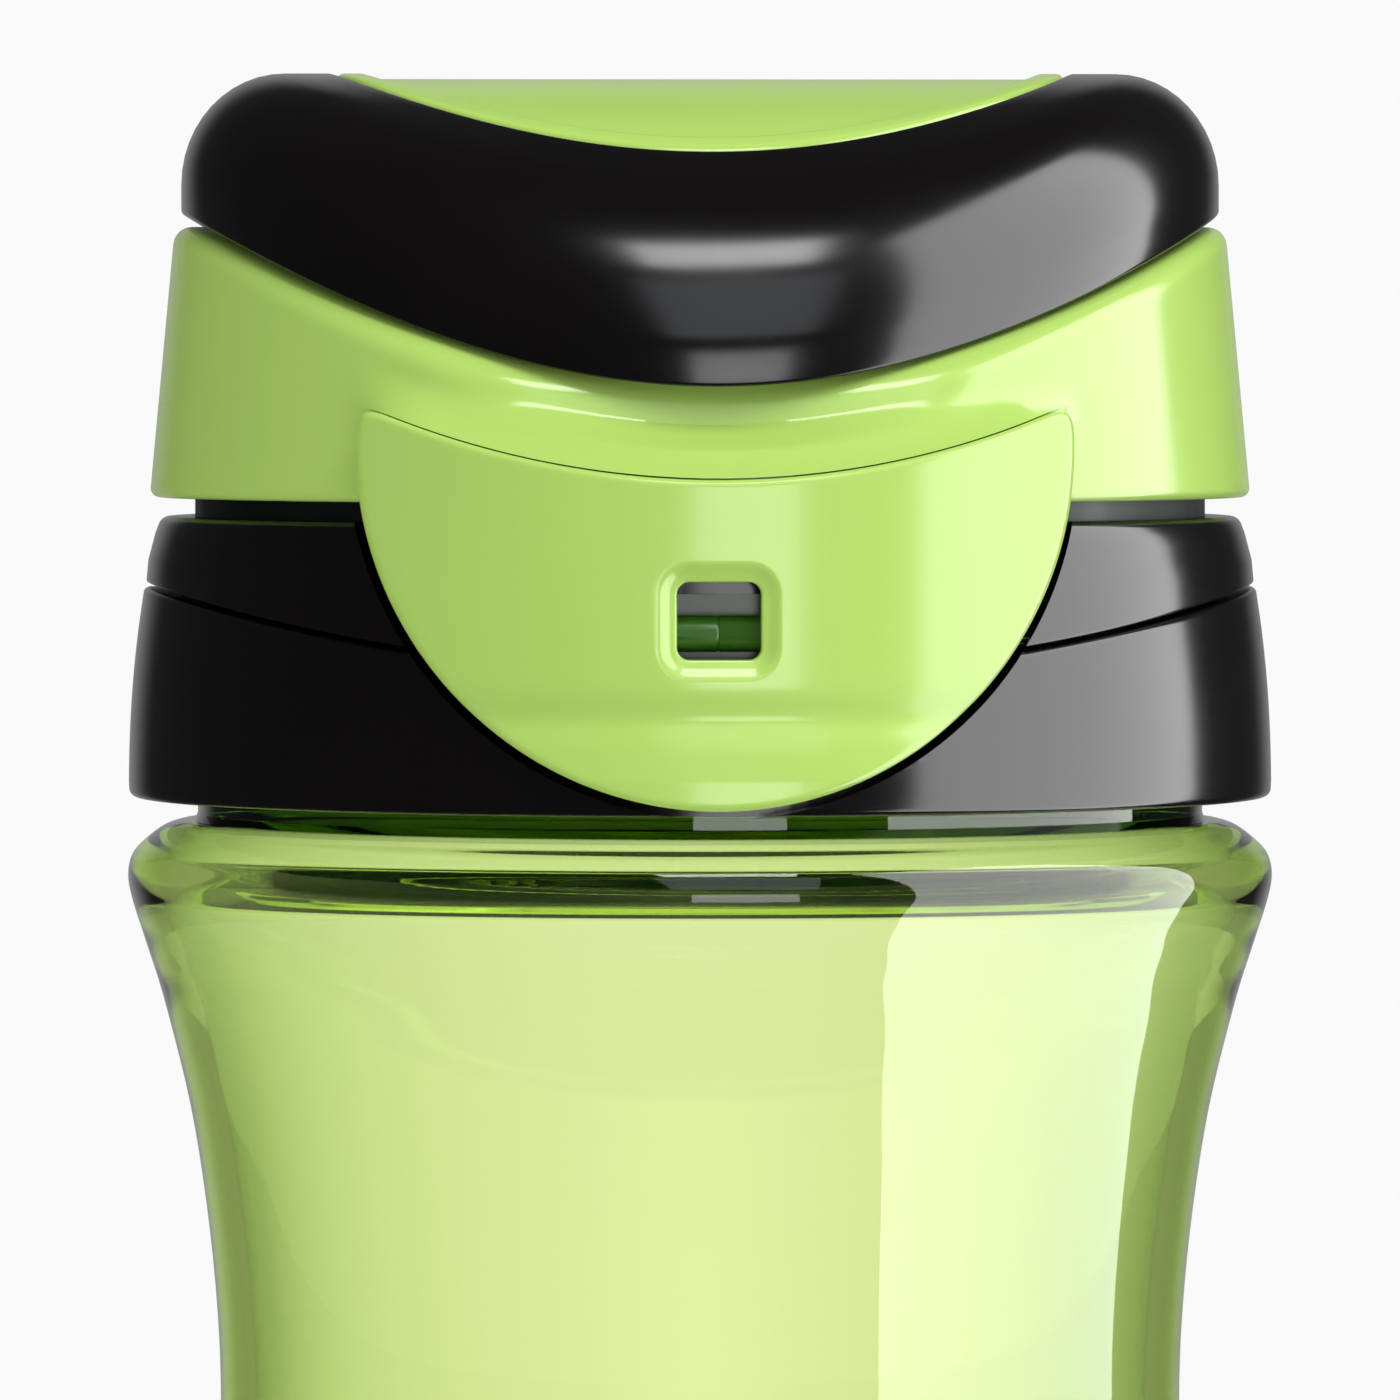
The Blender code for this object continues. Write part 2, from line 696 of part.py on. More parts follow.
def make_crown():
    """Black saddle that caps the green shell, hollow underneath."""
    low = SEAM_Z + GAP
    recess_r = INLAY_R + GAP
    recess = INLAY_THICK + GAP
    profile = [
        (0.0, HEIGHT - recess),
        edge_on_arc(HEIGHT - recess, CROWN_ARC, 12 * MM),
        edge_on_arc(HEIGHT - recess, CROWN_ARC, recess_r),
        edge_on_arc(HEIGHT - 0.2 * MM, CROWN_ARC, recess_r),
        edge_on_arc(HEIGHT, CROWN_ARC, recess_r + 0.3 * MM),
    ]
    for radius, drop in crown_corner():
        profile.append(edge_on_arc(HEIGHT - drop * MM, CROWN_ARC, radius * MM))
    profile += [
        edge_on_arc(low + 0.5 * MM, SEAM_ARC, CROWN_R),
        edge_on_arc(low, SEAM_ARC, CROWN_R - 0.4 * MM),
        edge_on_arc(low, SEAM_ARC, CROWN_R - CROWN_WALL - 0.4 * MM),
        edge_on_arc(HEIGHT - 5.4 * MM, CROWN_ARC, CROWN_R - CROWN_WALL - 0.8 * MM),
        edge_on_arc(HEIGHT - recess - CROWN_WALL, CROWN_ARC, 27 * MM),
        edge_on_arc(HEIGHT - recess - CROWN_WALL, CROWN_ARC, 13 * MM),
        (0.0, HEIGHT - recess - CROWN_WALL),
    ]
    return turned("crown_grip", profile, closed=False)


def make_inlay():
    edge = 0.25 * MM
    return turned(
        "crown_inlay",
        [
            (0.0, HEIGHT),
            edge_on_arc(HEIGHT, CROWN_ARC, 12 * MM),
            edge_on_arc(HEIGHT, CROWN_ARC, INLAY_R - edge),
            edge_on_arc(HEIGHT - edge, CROWN_ARC, INLAY_R),
            edge_on_arc(HEIGHT - INLAY_THICK, CROWN_ARC, INLAY_R),
            edge_on_arc(HEIGHT - INLAY_THICK, CROWN_ARC, 12 * MM),
            (0.0, HEIGHT - INLAY_THICK),
        ],
        closed=False,
    )


def make_plug_carrier():
    high = 176.5 * MM
    shelf = SPOUT_TOP + 2.2 * MM
    return turned(
        "plug_carrier",
        [
            (4.3 * MM, high), (9.3 * MM, high), (9.3 * MM, SPOUT_TOP + 0.5 * MM),
            (8.7 * MM, SPOUT_TOP + 0.5 * MM), (8.7 * MM, shelf), (4.3 * MM, shelf),
        ],
        sides=SMALL_ROUND,
        centre=(0.0, SPOUT_Y),
    )


def make_plug():
    low = SPOUT_TOP + GAP
    high = SPOUT_TOP + 1.9 * MM
    return turned(
        "spout_plug",
        [
            (0.0, low - 2.4 * MM), (3.6 * MM, low - 2.2 * MM), (4.7 * MM, low - 1.4 * MM),
            (5.5 * MM, low), (8.4 * MM, low), (8.4 * MM, high), (4.0 * MM, high),
            (4.0 * MM, high + 1.7 * MM), (0.0, high + 1.7 * MM),
        ],
        sides=SMALL_ROUND,
        centre=(0.0, SPOUT_Y),
        closed=False,
    )


def make_hinge_pin():
    return across("hinge_pin", HINGE_Y, HINGE_Z, HINGE_PIN_R, 12.0 * MM)


def make_hinge_spring():
    """Torsion spring around the pin, one leg on the lid and one under the cap."""
    coil_r = 1.55 * MM
    wire_r = 0.26 * MM
    turns = 4.75
    half = 2.6 * MM
    steps_per_turn = 12
    steps = int(turns * steps_per_turn)
    points = [(-half, HINGE_Y - 2.2 * MM, HINGE_Z - coil_r)]
    for k in range(steps + 1):
        share = k / steps
        angle = -math.pi / 2 - 2.0 * math.pi * turns * share
        x = -half + 2 * half * share
        y = HINGE_Y + coil_r * math.cos(angle)
        z = HINGE_Z + coil_r * math.sin(angle)
        points.append((x, y, z))
    points.append((half, HINGE_Y + coil_r * math.cos(angle), HINGE_Z + 2.6 * MM))
    return wire("hinge_spring", points, wire_r)


# ---- latch -------------------------------------------------------------------
def rounded_rectangle(width, height, corner, centre_z, steps=4):
    points = []
    for sx, sz, first in ((1, 1, 0), (-1, 1, 90), (-1, -1, 180), (1, -1, 270)):
        cx = sx * (width / 2 - corner)
        cz = centre_z + sz * (height / 2 - corner)
        for k in range(steps + 1):
            angle = math.radians(first + 90.0 * k / steps)
            points.append((cx + corner * math.cos(angle), cz + corner * math.sin(angle)))
    return points


def make_latch_tab():
    """Rocker in front: curved round tab, window, pivot lugs and two hooks."""
    tab = front_band("latch_tab", TAB_INNER_R, TAB_OUTER_R, 0.0)
    for side in (-1, 1):
        join(tab, tab_lug(side))
        join(tab, tab_hook(side))
    window = rounded_rectangle(WINDOW_WIDTH, WINDOW_HEIGHT, 0.75 * MM, WINDOW_Z)
    cut(tab, prism("window", window, -42 * MM, -34.8 * MM))
    cut(tab, across("tab_bore", LATCH_Y, LATCH_Z, LATCH_PIN_R + PIN_CLEARANCE, 5.4 * MM))
    for side in (-1, 1):
        near, far = (side * 5.3 * MM, LATCH_Y, LATCH_Z), (side * 8.1 * MM, LATCH_Y, LATCH_Z)
        cut(tab, rod(f"lug_relief_{side}", near, far, LATCH_LUG_R + 0.35 * MM))
    return tab


def tab_lug(side):
    inner, outer = 2.9 * MM, 5.2 * MM
    root_y = -35.5 * MM
    outline = [(root_y, LATCH_Z - TAB_LUG_R), (root_y, LATCH_Z + TAB_LUG_R)]
    outline += half_round(LATCH_Y, LATCH_Z, TAB_LUG_R, 90, -90)
    near, far = sorted((side * inner, side * outer))
    rings = [[(x, y, z) for y, z in outline] for x in (near, far)]
    return capped(f"tab_lug_{side}", rings)


def tab_hook(side):
    """Inward hook that sits in a notch of the cap's lower edge."""
    rings = []
    for step in range(7):
        x = HOOK_X - HOOK_WIDTH / 2 + HOOK_WIDTH * step / 6
        outline = []
        for radius, z in (
            (HOOK_TIP_R, HOOK_Z - HOOK_HEIGHT / 2),
            (TAB_INNER_R + 0.6 * MM, HOOK_Z - HOOK_HEIGHT / 2),
            (TAB_INNER_R + 0.6 * MM, HOOK_Z + HOOK_HEIGHT / 2),
            (HOOK_TIP_R, HOOK_Z + HOOK_HEIGHT / 2),
        ):
            outline.append((side * x, -math.sqrt(radius * radius - x * x), z))
        rings.append(outline)
    return capped(f"tab_hook_{side}", rings)


def make_latch_pin():
    return across("latch_pin", LATCH_Y, LATCH_Z, LATCH_PIN_R, 7.4 * MM)


def make_latch_spring():
    """Leaf spring between the collar's pocket and the tab's lower end."""
    thick = 0.25 * MM
    half_width = 3.0 * MM
    foot_y = -(POCKET_R + GAP)
    tip_y = -(TAB_INNER_R - GAP)
    top_z, low_z = 151.6 * MM, 147.4 * MM
    steps = 10
    rings = []
    for k in range(steps + 1):
        share = k / steps
        z = top_z + (low_z - top_z) * share
        bow = 0.5 - 0.5 * math.cos(math.pi * share)
        y = foot_y + (tip_y + thick - foot_y) * bow
        rings.append(
            [(-half_width, y, z), (half_width, y, z),
             (half_width, y - thick, z), (-half_width, y - thick, z)]
        )
    return capped("latch_spring", rings)


# ---- assembly ----------------------------------------------------------------
def pivot(name, place, parent=None):
    """An empty on a joint's axis that the moving pieces hang from."""
    empty = bpy.data.objects.new(name, None)
    empty.empty_display_size = 0.01
    bpy.context.scene.collection.objects.link(empty)
    empty["world_place"] = place
    if parent is not None:
        empty.parent = parent
        base = Vector(parent["world_place"])
        empty.location = Vector(place) - base
    else:
        empty.location = place
    return empty


def hang(piece, empty, material):
    """Give a piece its material and put its origin on its pivot."""
    piece.data.materials.append(material)
    piece.data.transform(Matrix.Translation(-Vector(empty["world_place"])))
    piece.parent = empty


def main():
    clear_scene()
    base = pivot("bottle_frame", (0.0, 0.0, 0.0))
    screw = pivot("lid_screw_axis", (0.0, 0.0, NECK_Z), base)
    hinge = pivot("cap_hinge_axis", (0.0, HINGE_Y, HINGE_Z), screw)
    latch = pivot("latch_axis", (0.0, LATCH_Y, LATCH_Z), screw)

    hang(make_bottle(), base, plastic("clear_green_bottle", CLEAR_GREEN, 0.06))
    hang(make_gasket(), screw, plastic("gasket_silicone", SILICONE, 0.5))

    pocket = front_band("tab_pocket", POCKET_R, 40 * MM, 0.6 * MM)
    hang(make_lid_body(), screw, plastic("lid_green", DEEP_GREEN, 0.3))
    hang(make_collar(pocket), screw, plastic("collar_black", BLACK, 0.3))
    hang(make_deck(pocket), screw, plastic("deck_black", BLACK, 0.3))
    pocket.hide_render = True
    pocket.display_type = "WIRE"
    hang(make_cap_seal(), screw, plastic("cap_seal_dark", DARK_SEAL, 0.5))
    hang(make_spout(), screw, plastic("spout_silicone", SILICONE, 0.4))
    hang(make_retainer(), screw, plastic("retainer_green", DEEP_GREEN, 0.35))
    hang(make_flow_valve(), screw, plastic("valve_silicone", SILICONE, 0.45))
    hang(make_vent_valve(), screw, plastic("vent_silicone", SILICONE, 0.45))
    hang(make_hinge_pin(), screw, plastic("hinge_pin_steel", STEEL, 0.25, 1.0))
    hang(make_hinge_spring(), screw, plastic("hinge_spring_steel", STEEL, 0.25, 1.0))
    hang(make_latch_pin(), screw, plastic("latch_pin_green", DEEP_GREEN, 0.2))
    hang(make_latch_spring(), screw, plastic("latch_spring_steel", STEEL, 0.3, 1.0))

    hang(make_cap(), hinge, plastic("cap_green", GREEN, 0.28))
    hang(make_crown(), hinge, plastic("crown_black", BLACK, 0.22))
    hang(make_inlay(), hinge, plastic("inlay_green", GREEN, 0.28))
    hang(make_plug_carrier(), hinge, plastic("carrier_green", DEEP_GREEN, 0.35))
    hang(make_plug(), hinge, plastic("plug_silicone", SILICONE, 0.45))

    hang(make_latch_tab(), latch, plastic("tab_green", GREEN, 0.28))


main()
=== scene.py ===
# %% [markdown]
# # Kids water bottle with a screw-on lid and a flip-top cap
# The engineering model gives the frame: every piece's size, place and body.
# This lesson builds the fine surfaces and finishes around that frame.
# Helpers and finishes come first. Then it goes up from the bottle to the lid,
# the cap and the latch, on to the small parts inside, and ends in the studio.

# %% Load the frame
import json
import math

import bmesh
import bpy
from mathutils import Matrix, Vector


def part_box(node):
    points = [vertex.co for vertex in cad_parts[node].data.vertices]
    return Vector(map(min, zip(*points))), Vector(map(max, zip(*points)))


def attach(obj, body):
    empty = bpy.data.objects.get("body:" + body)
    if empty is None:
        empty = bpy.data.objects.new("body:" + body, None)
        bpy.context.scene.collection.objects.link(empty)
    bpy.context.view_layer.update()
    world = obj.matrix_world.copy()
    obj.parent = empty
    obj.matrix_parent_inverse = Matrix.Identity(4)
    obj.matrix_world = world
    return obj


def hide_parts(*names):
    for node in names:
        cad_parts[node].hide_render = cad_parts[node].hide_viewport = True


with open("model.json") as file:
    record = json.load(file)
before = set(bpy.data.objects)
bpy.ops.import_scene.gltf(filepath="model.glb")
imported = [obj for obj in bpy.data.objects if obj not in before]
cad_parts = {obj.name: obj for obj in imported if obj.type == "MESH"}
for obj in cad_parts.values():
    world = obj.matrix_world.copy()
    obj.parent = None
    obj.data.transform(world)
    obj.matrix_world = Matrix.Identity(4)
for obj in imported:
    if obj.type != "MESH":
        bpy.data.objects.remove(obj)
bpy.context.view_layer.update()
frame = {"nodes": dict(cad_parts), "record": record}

# %% [markdown]
# ## Sizes
# Each piece sits where its engineering node sits, so sizes are read from the
# nodes' boxes. Profiles below are written in millimetres, which keeps a 0.3 mm
# edge readable, and turned into metres when a mesh is made.

# %% Sizes read from the frame, in millimetres
MM = 0.001


def low(node):
    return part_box(node)[0] / MM


def high(node):
    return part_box(node)[1] / MM


SHOULDER_R = high("bottle_body").x
RIM_Z = high("bottle_body").z
COLLAR_R = high("collar_shell").x
COLLAR_LOW = low("collar_shell").z
DECK_TOP = high("deck_shell").z
TOP_Z = high("crown_inlay").z
CROWN_R = high("crown_grip").x
INLAY_R = high("crown_inlay").x
TAB_FRONT_R = -low("latch_tab").y
TAB_LOW = low("latch_tab").z
PIN_R = (high("latch_pin").z - low("latch_pin").z) / 2
PIN_Z = (high("latch_pin").z + low("latch_pin").z) / 2
PIN_Y = (high("latch_pin").y + low("latch_pin").y) / 2
HINGE_Z = (high("hinge_pin").z + low("hinge_pin").z) / 2
HINGE_Y = (high("hinge_pin").y + low("hinge_pin").y) / 2
SPOUT_TOP = high("spout").z
SPOUT_Y = (high("spout").y + low("spout").y) / 2
VENT_Y = (high("vent_valve").y + low("vent_valve").y) / 2

CAP_LOW = DECK_TOP + 1.2         # the shadow gap between deck and cap
CAP_R = 34.7
CAP_DRAFT = 0.094                # radius lost per height
SEAM_Z = 181.1                   # cap meets crown at the left and right
PARTING_Z = 157.7                # collar meets deck at the left and right
SEAM_ARC = 54.7                  # arcs seen from the side
CROWN_ARC = 54.5
PARTING_ARC = 128.5
LEVEL_ARC = 100000.0             # as good as flat
print("crown radius", round(CROWN_R, 2), "inlay radius", round(INLAY_R, 2))

# %% [markdown]
# ## Making turned shells
# Most of the bottle is round, and a lathe-like helper makes those pieces: it
# takes one outline and turns it about the vertical axis. The outline is written
# as corners, each with its own fillet, because moulded plastic has no sharp
# edges and a fillet is what catches a line of light.

# %% Outlines with rounded corners
SIDES = 256                      # steps around a large shell
SMALL_SIDES = 96                 # steps around a small part
BAR_SIDES = 48                   # steps around a pin
FILLET_STEPS = 6
POLE_R = 1e-6                    # a ring smaller than this is a single point
SHARP_EDGE = math.radians(38)    # edges that bend more than this stay crisp


def rounded(corners, closed=True):
    """Corners (radius, height[, fillet]) to an outline with real arcs."""
    outline = []
    for k, corner in enumerate(corners):
        at_end = not closed and k in (0, len(corners) - 1)
        if len(corner) == 2 or at_end:
            outline.append(Vector(corner[:2]))
            continue
        here = Vector(corner[:2])
        back = Vector(corners[k - 1][:2]) - here
        ahead = Vector(corners[(k + 1) % len(corners)][:2]) - here
        half = back.angle(ahead) / 2
        reach = min(corner[2] / math.tan(half), 0.49 * back.length, 0.49 * ahead.length)
        centre = here + (back.normalized() + ahead.normalized()).normalized() * reach / math.cos(half)
        first = here + back.normalized() * reach - centre
        last = here + ahead.normalized() * reach - centre
        sweep = first.angle(last)
        for step in range(FILLET_STEPS + 1):
            share = step / FILLET_STEPS
            a = math.sin((1 - share) * sweep) / math.sin(sweep)
            b = math.sin(share * sweep) / math.sin(sweep)
            outline.append(centre + first * a + last * b)
    return outline


def refined(outline, longest, closed=True):
    """Split the long runs, so that a later bend has points to move."""
    result = []
    pairs = list(zip(outline, outline[1:]))
    if closed:
        pairs.append((outline[-1], outline[0]))
    for start, end in pairs:
        start, end = Vector(start), Vector(end)
        count = max(1, math.ceil((end - start).length / longest))
        result += [start.lerp(end, k / count) for k in range(count)]
    if not closed:
        result.append(Vector(outline[-1]))
    return result


def flowing(points, steps=6):
    """A smooth curve through the given points."""
    ends = [Vector(points[0])] + [Vector(p) for p in points] + [Vector(points[-1])]
    curve = []
    for a, b, c, d in zip(ends, ends[1:], ends[2:], ends[3:]):
        for step in range(steps):
            t = step / steps
            curve.append(0.5 * (
                2 * b + (c - a) * t
                + (2 * a - 5 * b + 4 * c - d) * t * t
                + (3 * b - a - 3 * c + d) * t * t * t
            ))
    curve.append(Vector(points[-1]))
    return curve


# %% [markdown]
# ## From rings to a skin
# A surface is a row of rings joined by faces. A turned piece has round rings
# and a bent one has any rings, so one helper closes the skin for both. Faces
# are made to point outwards at once, because a clear wall needs to know which
# side is inside.

# %% Skins over rings of points
def skin(name, rings, closed=False, capped=False):
    """Join rings of points (in mm) with faces; a ring of one point is a pole."""
    vertices, starts = [], []
    for ring in rings:
        starts.append(len(vertices))
        vertices += [Vector(point) * MM for point in ring]
    faces = []
    pairs = list(zip(range(len(rings)), range(1, len(rings))))
    if closed:
        pairs.append((len(rings) - 1, 0))
    for a, b in pairs:
        sides = max(len(rings[a]), len(rings[b]))
        for k in range(sides):
            corners = [
                starts[a] + k % len(rings[a]),
                starts[a] + (k + 1) % len(rings[a]),
                starts[b] + (k + 1) % len(rings[b]),
                starts[b] + k % len(rings[b]),
            ]
            faces.append(list(dict.fromkeys(corners)))
    if capped:
        faces.append([starts[0] + k for k in range(len(rings[0]))])
        faces.append([starts[-1] + k for k in range(len(rings[-1]))])
    mesh = bpy.data.meshes.new(name)
    mesh.from_pydata(vertices, [], faces)
    return finished(name, mesh)


def shade(mesh):
    mesh.shade_smooth()
    mesh.set_sharp_from_angle(angle=SHARP_EDGE)


def finished(name, mesh):
    """Faces outwards, smooth shading with true edges, linked to the scene."""
    work = bmesh.new()
    work.from_mesh(mesh)
    bmesh.ops.recalc_face_normals(work, faces=work.faces[:])
    work.to_mesh(mesh)
    work.free()
    shade(mesh)
    piece = bpy.data.objects.new(name, mesh)
    bpy.context.scene.collection.objects.link(piece)
    return piece


def turned(name, outline, sides=SIDES, centre=(0.0, 0.0), closed=True, axis="z"):
    """Turn an outline of (radius, place along the axis) about a centre line."""
    angles = [2 * math.pi * k / sides for k in range(sides)]
    rings = []
    for radius, along in outline:
        circle = [centre]
        if radius >= POLE_R:
            circle = [
                (centre[0] + radius * math.cos(a), centre[1] + radius * math.sin(a))
                for a in angles
            ]
        if axis == "z":
            rings.append([(x, y, along) for x, y in circle])
        else:
            rings.append([(along, y, z) for y, z in circle])
    return skin(name, rings, closed)


def lathe(name, corners, longest=0.8, closed=True, sides=SIDES, centre=(0.0, 0.0)):
    """Corners with fillets, split into short runs and turned."""
    outline = refined(rounded(corners, closed), longest, closed)
    return turned(name, outline, sides, centre, closed)


# %% [markdown]
# ## Pins, slabs and cuts
# Pins lie across the bottle, so a bar is turned about a line along X. Pockets
# and bores are cut with Booleans, as a mould maker would sink them. The exact
# solver is slower than the fast one and leaves clean edges on curved walls.

# %% Bars, blocks and cuts
def bar(name, half, y, z, radius, start=None, fillet=0.15):
    """A round bar along X with its rims broken, from -half or start to half."""
    start = -half if start is None else start
    corners = [(0.0, start), (radius, start, fillet), (radius, half, fillet), (0.0, half)]
    return turned(name, rounded(corners, closed=False), BAR_SIDES, (y, z), False, "x")


def both_sides(near, far):
    """The same stretch of X at the left and at the right, lower end first."""
    return [sorted((side * near, side * far)) for side in (-1, 1)]


def slab(name, outline, near, far, axis="x"):
    """Push a flat outline straight along one axis."""
    rings = []
    for place in (near, far):
        if axis == "x":
            rings.append([(place, a, b) for a, b in outline])
        elif axis == "y":
            rings.append([(a, place, b) for a, b in outline])
        else:
            rings.append([(a, b, place) for a, b in outline])
    return skin(name, rings, capped=True)


def block(name, corner, opposite):
    (x0, y0, z0), (x1, y1, z1) = corner, opposite
    return slab(name, [(x0, y0), (x1, y0), (x1, y1), (x0, y1)], z0, z1, axis="z")


def settle(piece):
    """Swap an object's modifiers for the mesh that they make."""
    bpy.context.view_layer.update()
    graph = bpy.context.evaluated_depsgraph_get()
    mesh = bpy.data.meshes.new_from_object(piece.evaluated_get(graph), depsgraph=graph)
    piece.modifiers.clear()
    old = piece.data
    piece.data = mesh
    mesh.name = piece.name
    bpy.data.meshes.remove(old)
    return piece


def carve(piece, tool, operation="DIFFERENCE"):
    """One exact Boolean, applied straight away."""
    modifier = piece.modifiers.new("cut", "BOOLEAN")
    modifier.operation = operation
    modifier.solver = "EXACT"
    modifier.object = tool
    settle(piece)
    bpy.data.objects.remove(tool)
    shade(piece.data)
    return piece


def weld(piece, tool):
    return carve(piece, tool, "UNION")


def arc_drop(arc, across):
    """How far an arc of this radius has fallen at a distance from its top."""
    return arc - math.sqrt(arc * arc - across * across)


def ease(value):
    """0 to 1 with a soft start and a soft end."""
    value = min(1.0, max(0.0, value))
    return value * value * (3 - 2 * value)


# %% [markdown]
# ## The saddle, as a Geometry Nodes rule
# Seen from the front the cap, the crown, the inlay and the lid's parting line
# all hang like a smile: high at the sides, low in front and behind. The pieces
# are turned flat first, and one node tree then lowers each point by how far an
# arc has fallen there. Two arcs, one for the lower and one for the upper
# height, let the same tree serve a cap with a level foot and a bent top.

# %% The saddle tree
def add_math(tree, operation, *values):
    node = tree.nodes.new("ShaderNodeMath")
    node.operation = operation
    for socket, value in zip(node.inputs, values):
        if isinstance(value, (int, float)):
            socket.default_value = value
        else:
            tree.links.new(value, socket)
    return node.outputs[0]


def new_tree(name, numbers):
    """A geometry tree with a geometry, named numbers and a material as inputs."""
    tree = bpy.data.node_groups.new(name, "GeometryNodeTree")
    side = tree.interface
    side.new_socket("Geometry", in_out="INPUT", socket_type="NodeSocketGeometry")
    for label in numbers:
        side.new_socket(label, in_out="INPUT", socket_type="NodeSocketFloat")
    side.new_socket("Material", in_out="INPUT", socket_type="NodeSocketMaterial")
    side.new_socket("Geometry", in_out="OUTPUT", socket_type="NodeSocketGeometry")
    return tree, tree.nodes.new("NodeGroupInput").outputs


def close_tree(tree, geometry, material):
    """Every tree ends the same way: real geometry with its finish on it."""
    realize = tree.nodes.new("GeometryNodeRealizeInstances")
    paint = tree.nodes.new("GeometryNodeSetMaterial")
    output = tree.nodes.new("NodeGroupOutput")
    tree.links.new(geometry, realize.inputs[0])
    tree.links.new(realize.outputs[0], paint.inputs["Geometry"])
    tree.links.new(material, paint.inputs["Material"])
    tree.links.new(paint.outputs[0], output.inputs[0])


def make_saddle_tree():
    labels = ["Lower Arc", "Upper Arc", "Lower Height", "Upper Height", "Draft"]
    tree, given = new_tree("saddle", labels)
    position = tree.nodes.new("GeometryNodeInputPosition")
    split = tree.nodes.new("ShaderNodeSeparateXYZ")
    tree.links.new(position.outputs[0], split.inputs[0])
    x, y, z = split.outputs
    y_squared = add_math(tree, "MULTIPLY", y, y)

    def fall(arc):
        squared = add_math(tree, "MULTIPLY", arc, arc)
        chord = add_math(tree, "SQRT", add_math(tree, "SUBTRACT", squared, y_squared))
        return add_math(tree, "SUBTRACT", arc, chord)

    rise = add_math(tree, "SUBTRACT", z, given["Lower Height"])
    span = add_math(tree, "SUBTRACT", given["Upper Height"], given["Lower Height"])
    ratio = add_math(tree, "DIVIDE", rise, span)
    share = add_math(tree, "MINIMUM", add_math(tree, "MAXIMUM", ratio, 0.0), 1.0)
    lower = add_math(tree, "MULTIPLY", fall(given["Lower Arc"]), add_math(tree, "SUBTRACT", 1.0, share))
    upper = add_math(tree, "MULTIPLY", fall(given["Upper Arc"]), share)
    drop = add_math(tree, "ADD", lower, upper)
    flat = tree.nodes.new("ShaderNodeCombineXYZ")
    tree.links.new(x, flat.inputs[0])
    tree.links.new(y, flat.inputs[1])
    outward = tree.nodes.new("ShaderNodeVectorMath")
    outward.operation = "NORMALIZE"
    tree.links.new(flat.outputs[0], outward.inputs[0])
    widen = tree.nodes.new("ShaderNodeVectorMath")
    widen.operation = "SCALE"
    tree.links.new(outward.outputs[0], widen.inputs[0])
    tree.links.new(add_math(tree, "MULTIPLY", drop, given["Draft"]), widen.inputs["Scale"])
    down = tree.nodes.new("ShaderNodeCombineXYZ")
    tree.links.new(add_math(tree, "MULTIPLY", drop, -1.0), down.inputs[2])
    total = tree.nodes.new("ShaderNodeVectorMath")
    total.operation = "ADD"
    tree.links.new(widen.outputs[0], total.inputs[0])
    tree.links.new(down.outputs[0], total.inputs[1])
    move = tree.nodes.new("GeometryNodeSetPosition")
    tree.links.new(given["Geometry"], move.inputs["Geometry"])
    tree.links.new(total.outputs[0], move.inputs["Offset"])
    close_tree(tree, move.outputs[0], given["Material"])
    return tree


def run_tree(piece, tree, **values):
    """Put a tree on a piece, set its named inputs, and keep the result as mesh."""
    modifier = piece.modifiers.new(tree.name, "NODES")
    modifier.node_group = tree
    for item in tree.interface.items_tree:
        wanted = values.get(item.name.replace(" ", "_").lower())
        if item.in_out == "INPUT" and wanted is not None:
            modifier[item.identifier] = wanted
    return settle(piece)


SADDLE = make_saddle_tree()


def saddled(piece, finish, lower_arc, upper_arc, lower_height, upper_height, draft=0.0):
    run_tree(
        piece, SADDLE, material=finish, draft=draft,
        lower_arc=lower_arc * MM, upper_arc=upper_arc * MM,
        lower_height=lower_height * MM, upper_height=upper_height * MM,
    )
    shade(piece.data)
    return piece


# %% [markdown]
# ## Finishes
# Four plastics, a silicone, a seal rubber and a spring steel. Each one is a
# Principled shader whose colour, gloss and relief vary a little with noise in
# Object coordinates. Moulded plastic is never one flat colour: flow lines shift
# it by a few per cent, and a fine grain breaks up its reflections.

# %% A moulded-plastic shader
def noise(tree, scale, detail=2.0, stretch=(1.0, 1.0, 1.0)):
    place = tree.nodes.new("ShaderNodeTexCoord")
    mapping = tree.nodes.new("ShaderNodeMapping")
    mapping.inputs["Scale"].default_value = stretch
    tree.links.new(place.outputs["Object"], mapping.inputs["Vector"])
    texture = tree.nodes.new("ShaderNodeTexNoise")
    texture.inputs["Scale"].default_value = scale
    texture.inputs["Detail"].default_value = detail
    tree.links.new(mapping.outputs[0], texture.inputs["Vector"])
    return texture.outputs[0]


def between(tree, value, low_end, high_end, start=0.25, stop=0.75):
    """Spread a value from start..stop over low_end..high_end, eased at both."""
    node = tree.nodes.new("ShaderNodeMapRange")
    node.interpolation_type = "SMOOTHSTEP"
    node.inputs["From Min"].default_value = start
    node.inputs["From Max"].default_value = stop
    node.inputs["To Min"].default_value = low_end
    node.inputs["To Max"].default_value = high_end
    tree.links.new(value, node.inputs["Value"])
    return node.outputs["Result"]


def blend_colours(tree, value, first, second):
    node = tree.nodes.new("ShaderNodeMix")
    node.data_type = "RGBA"
    start, end = [socket for socket in node.inputs if socket.type == "RGBA"]
    start.default_value = (*first, 1.0)
    end.default_value = (*second, 1.0)
    tree.links.new(value, node.inputs[0])
    return [socket for socket in node.outputs if socket.type == "RGBA"][0]


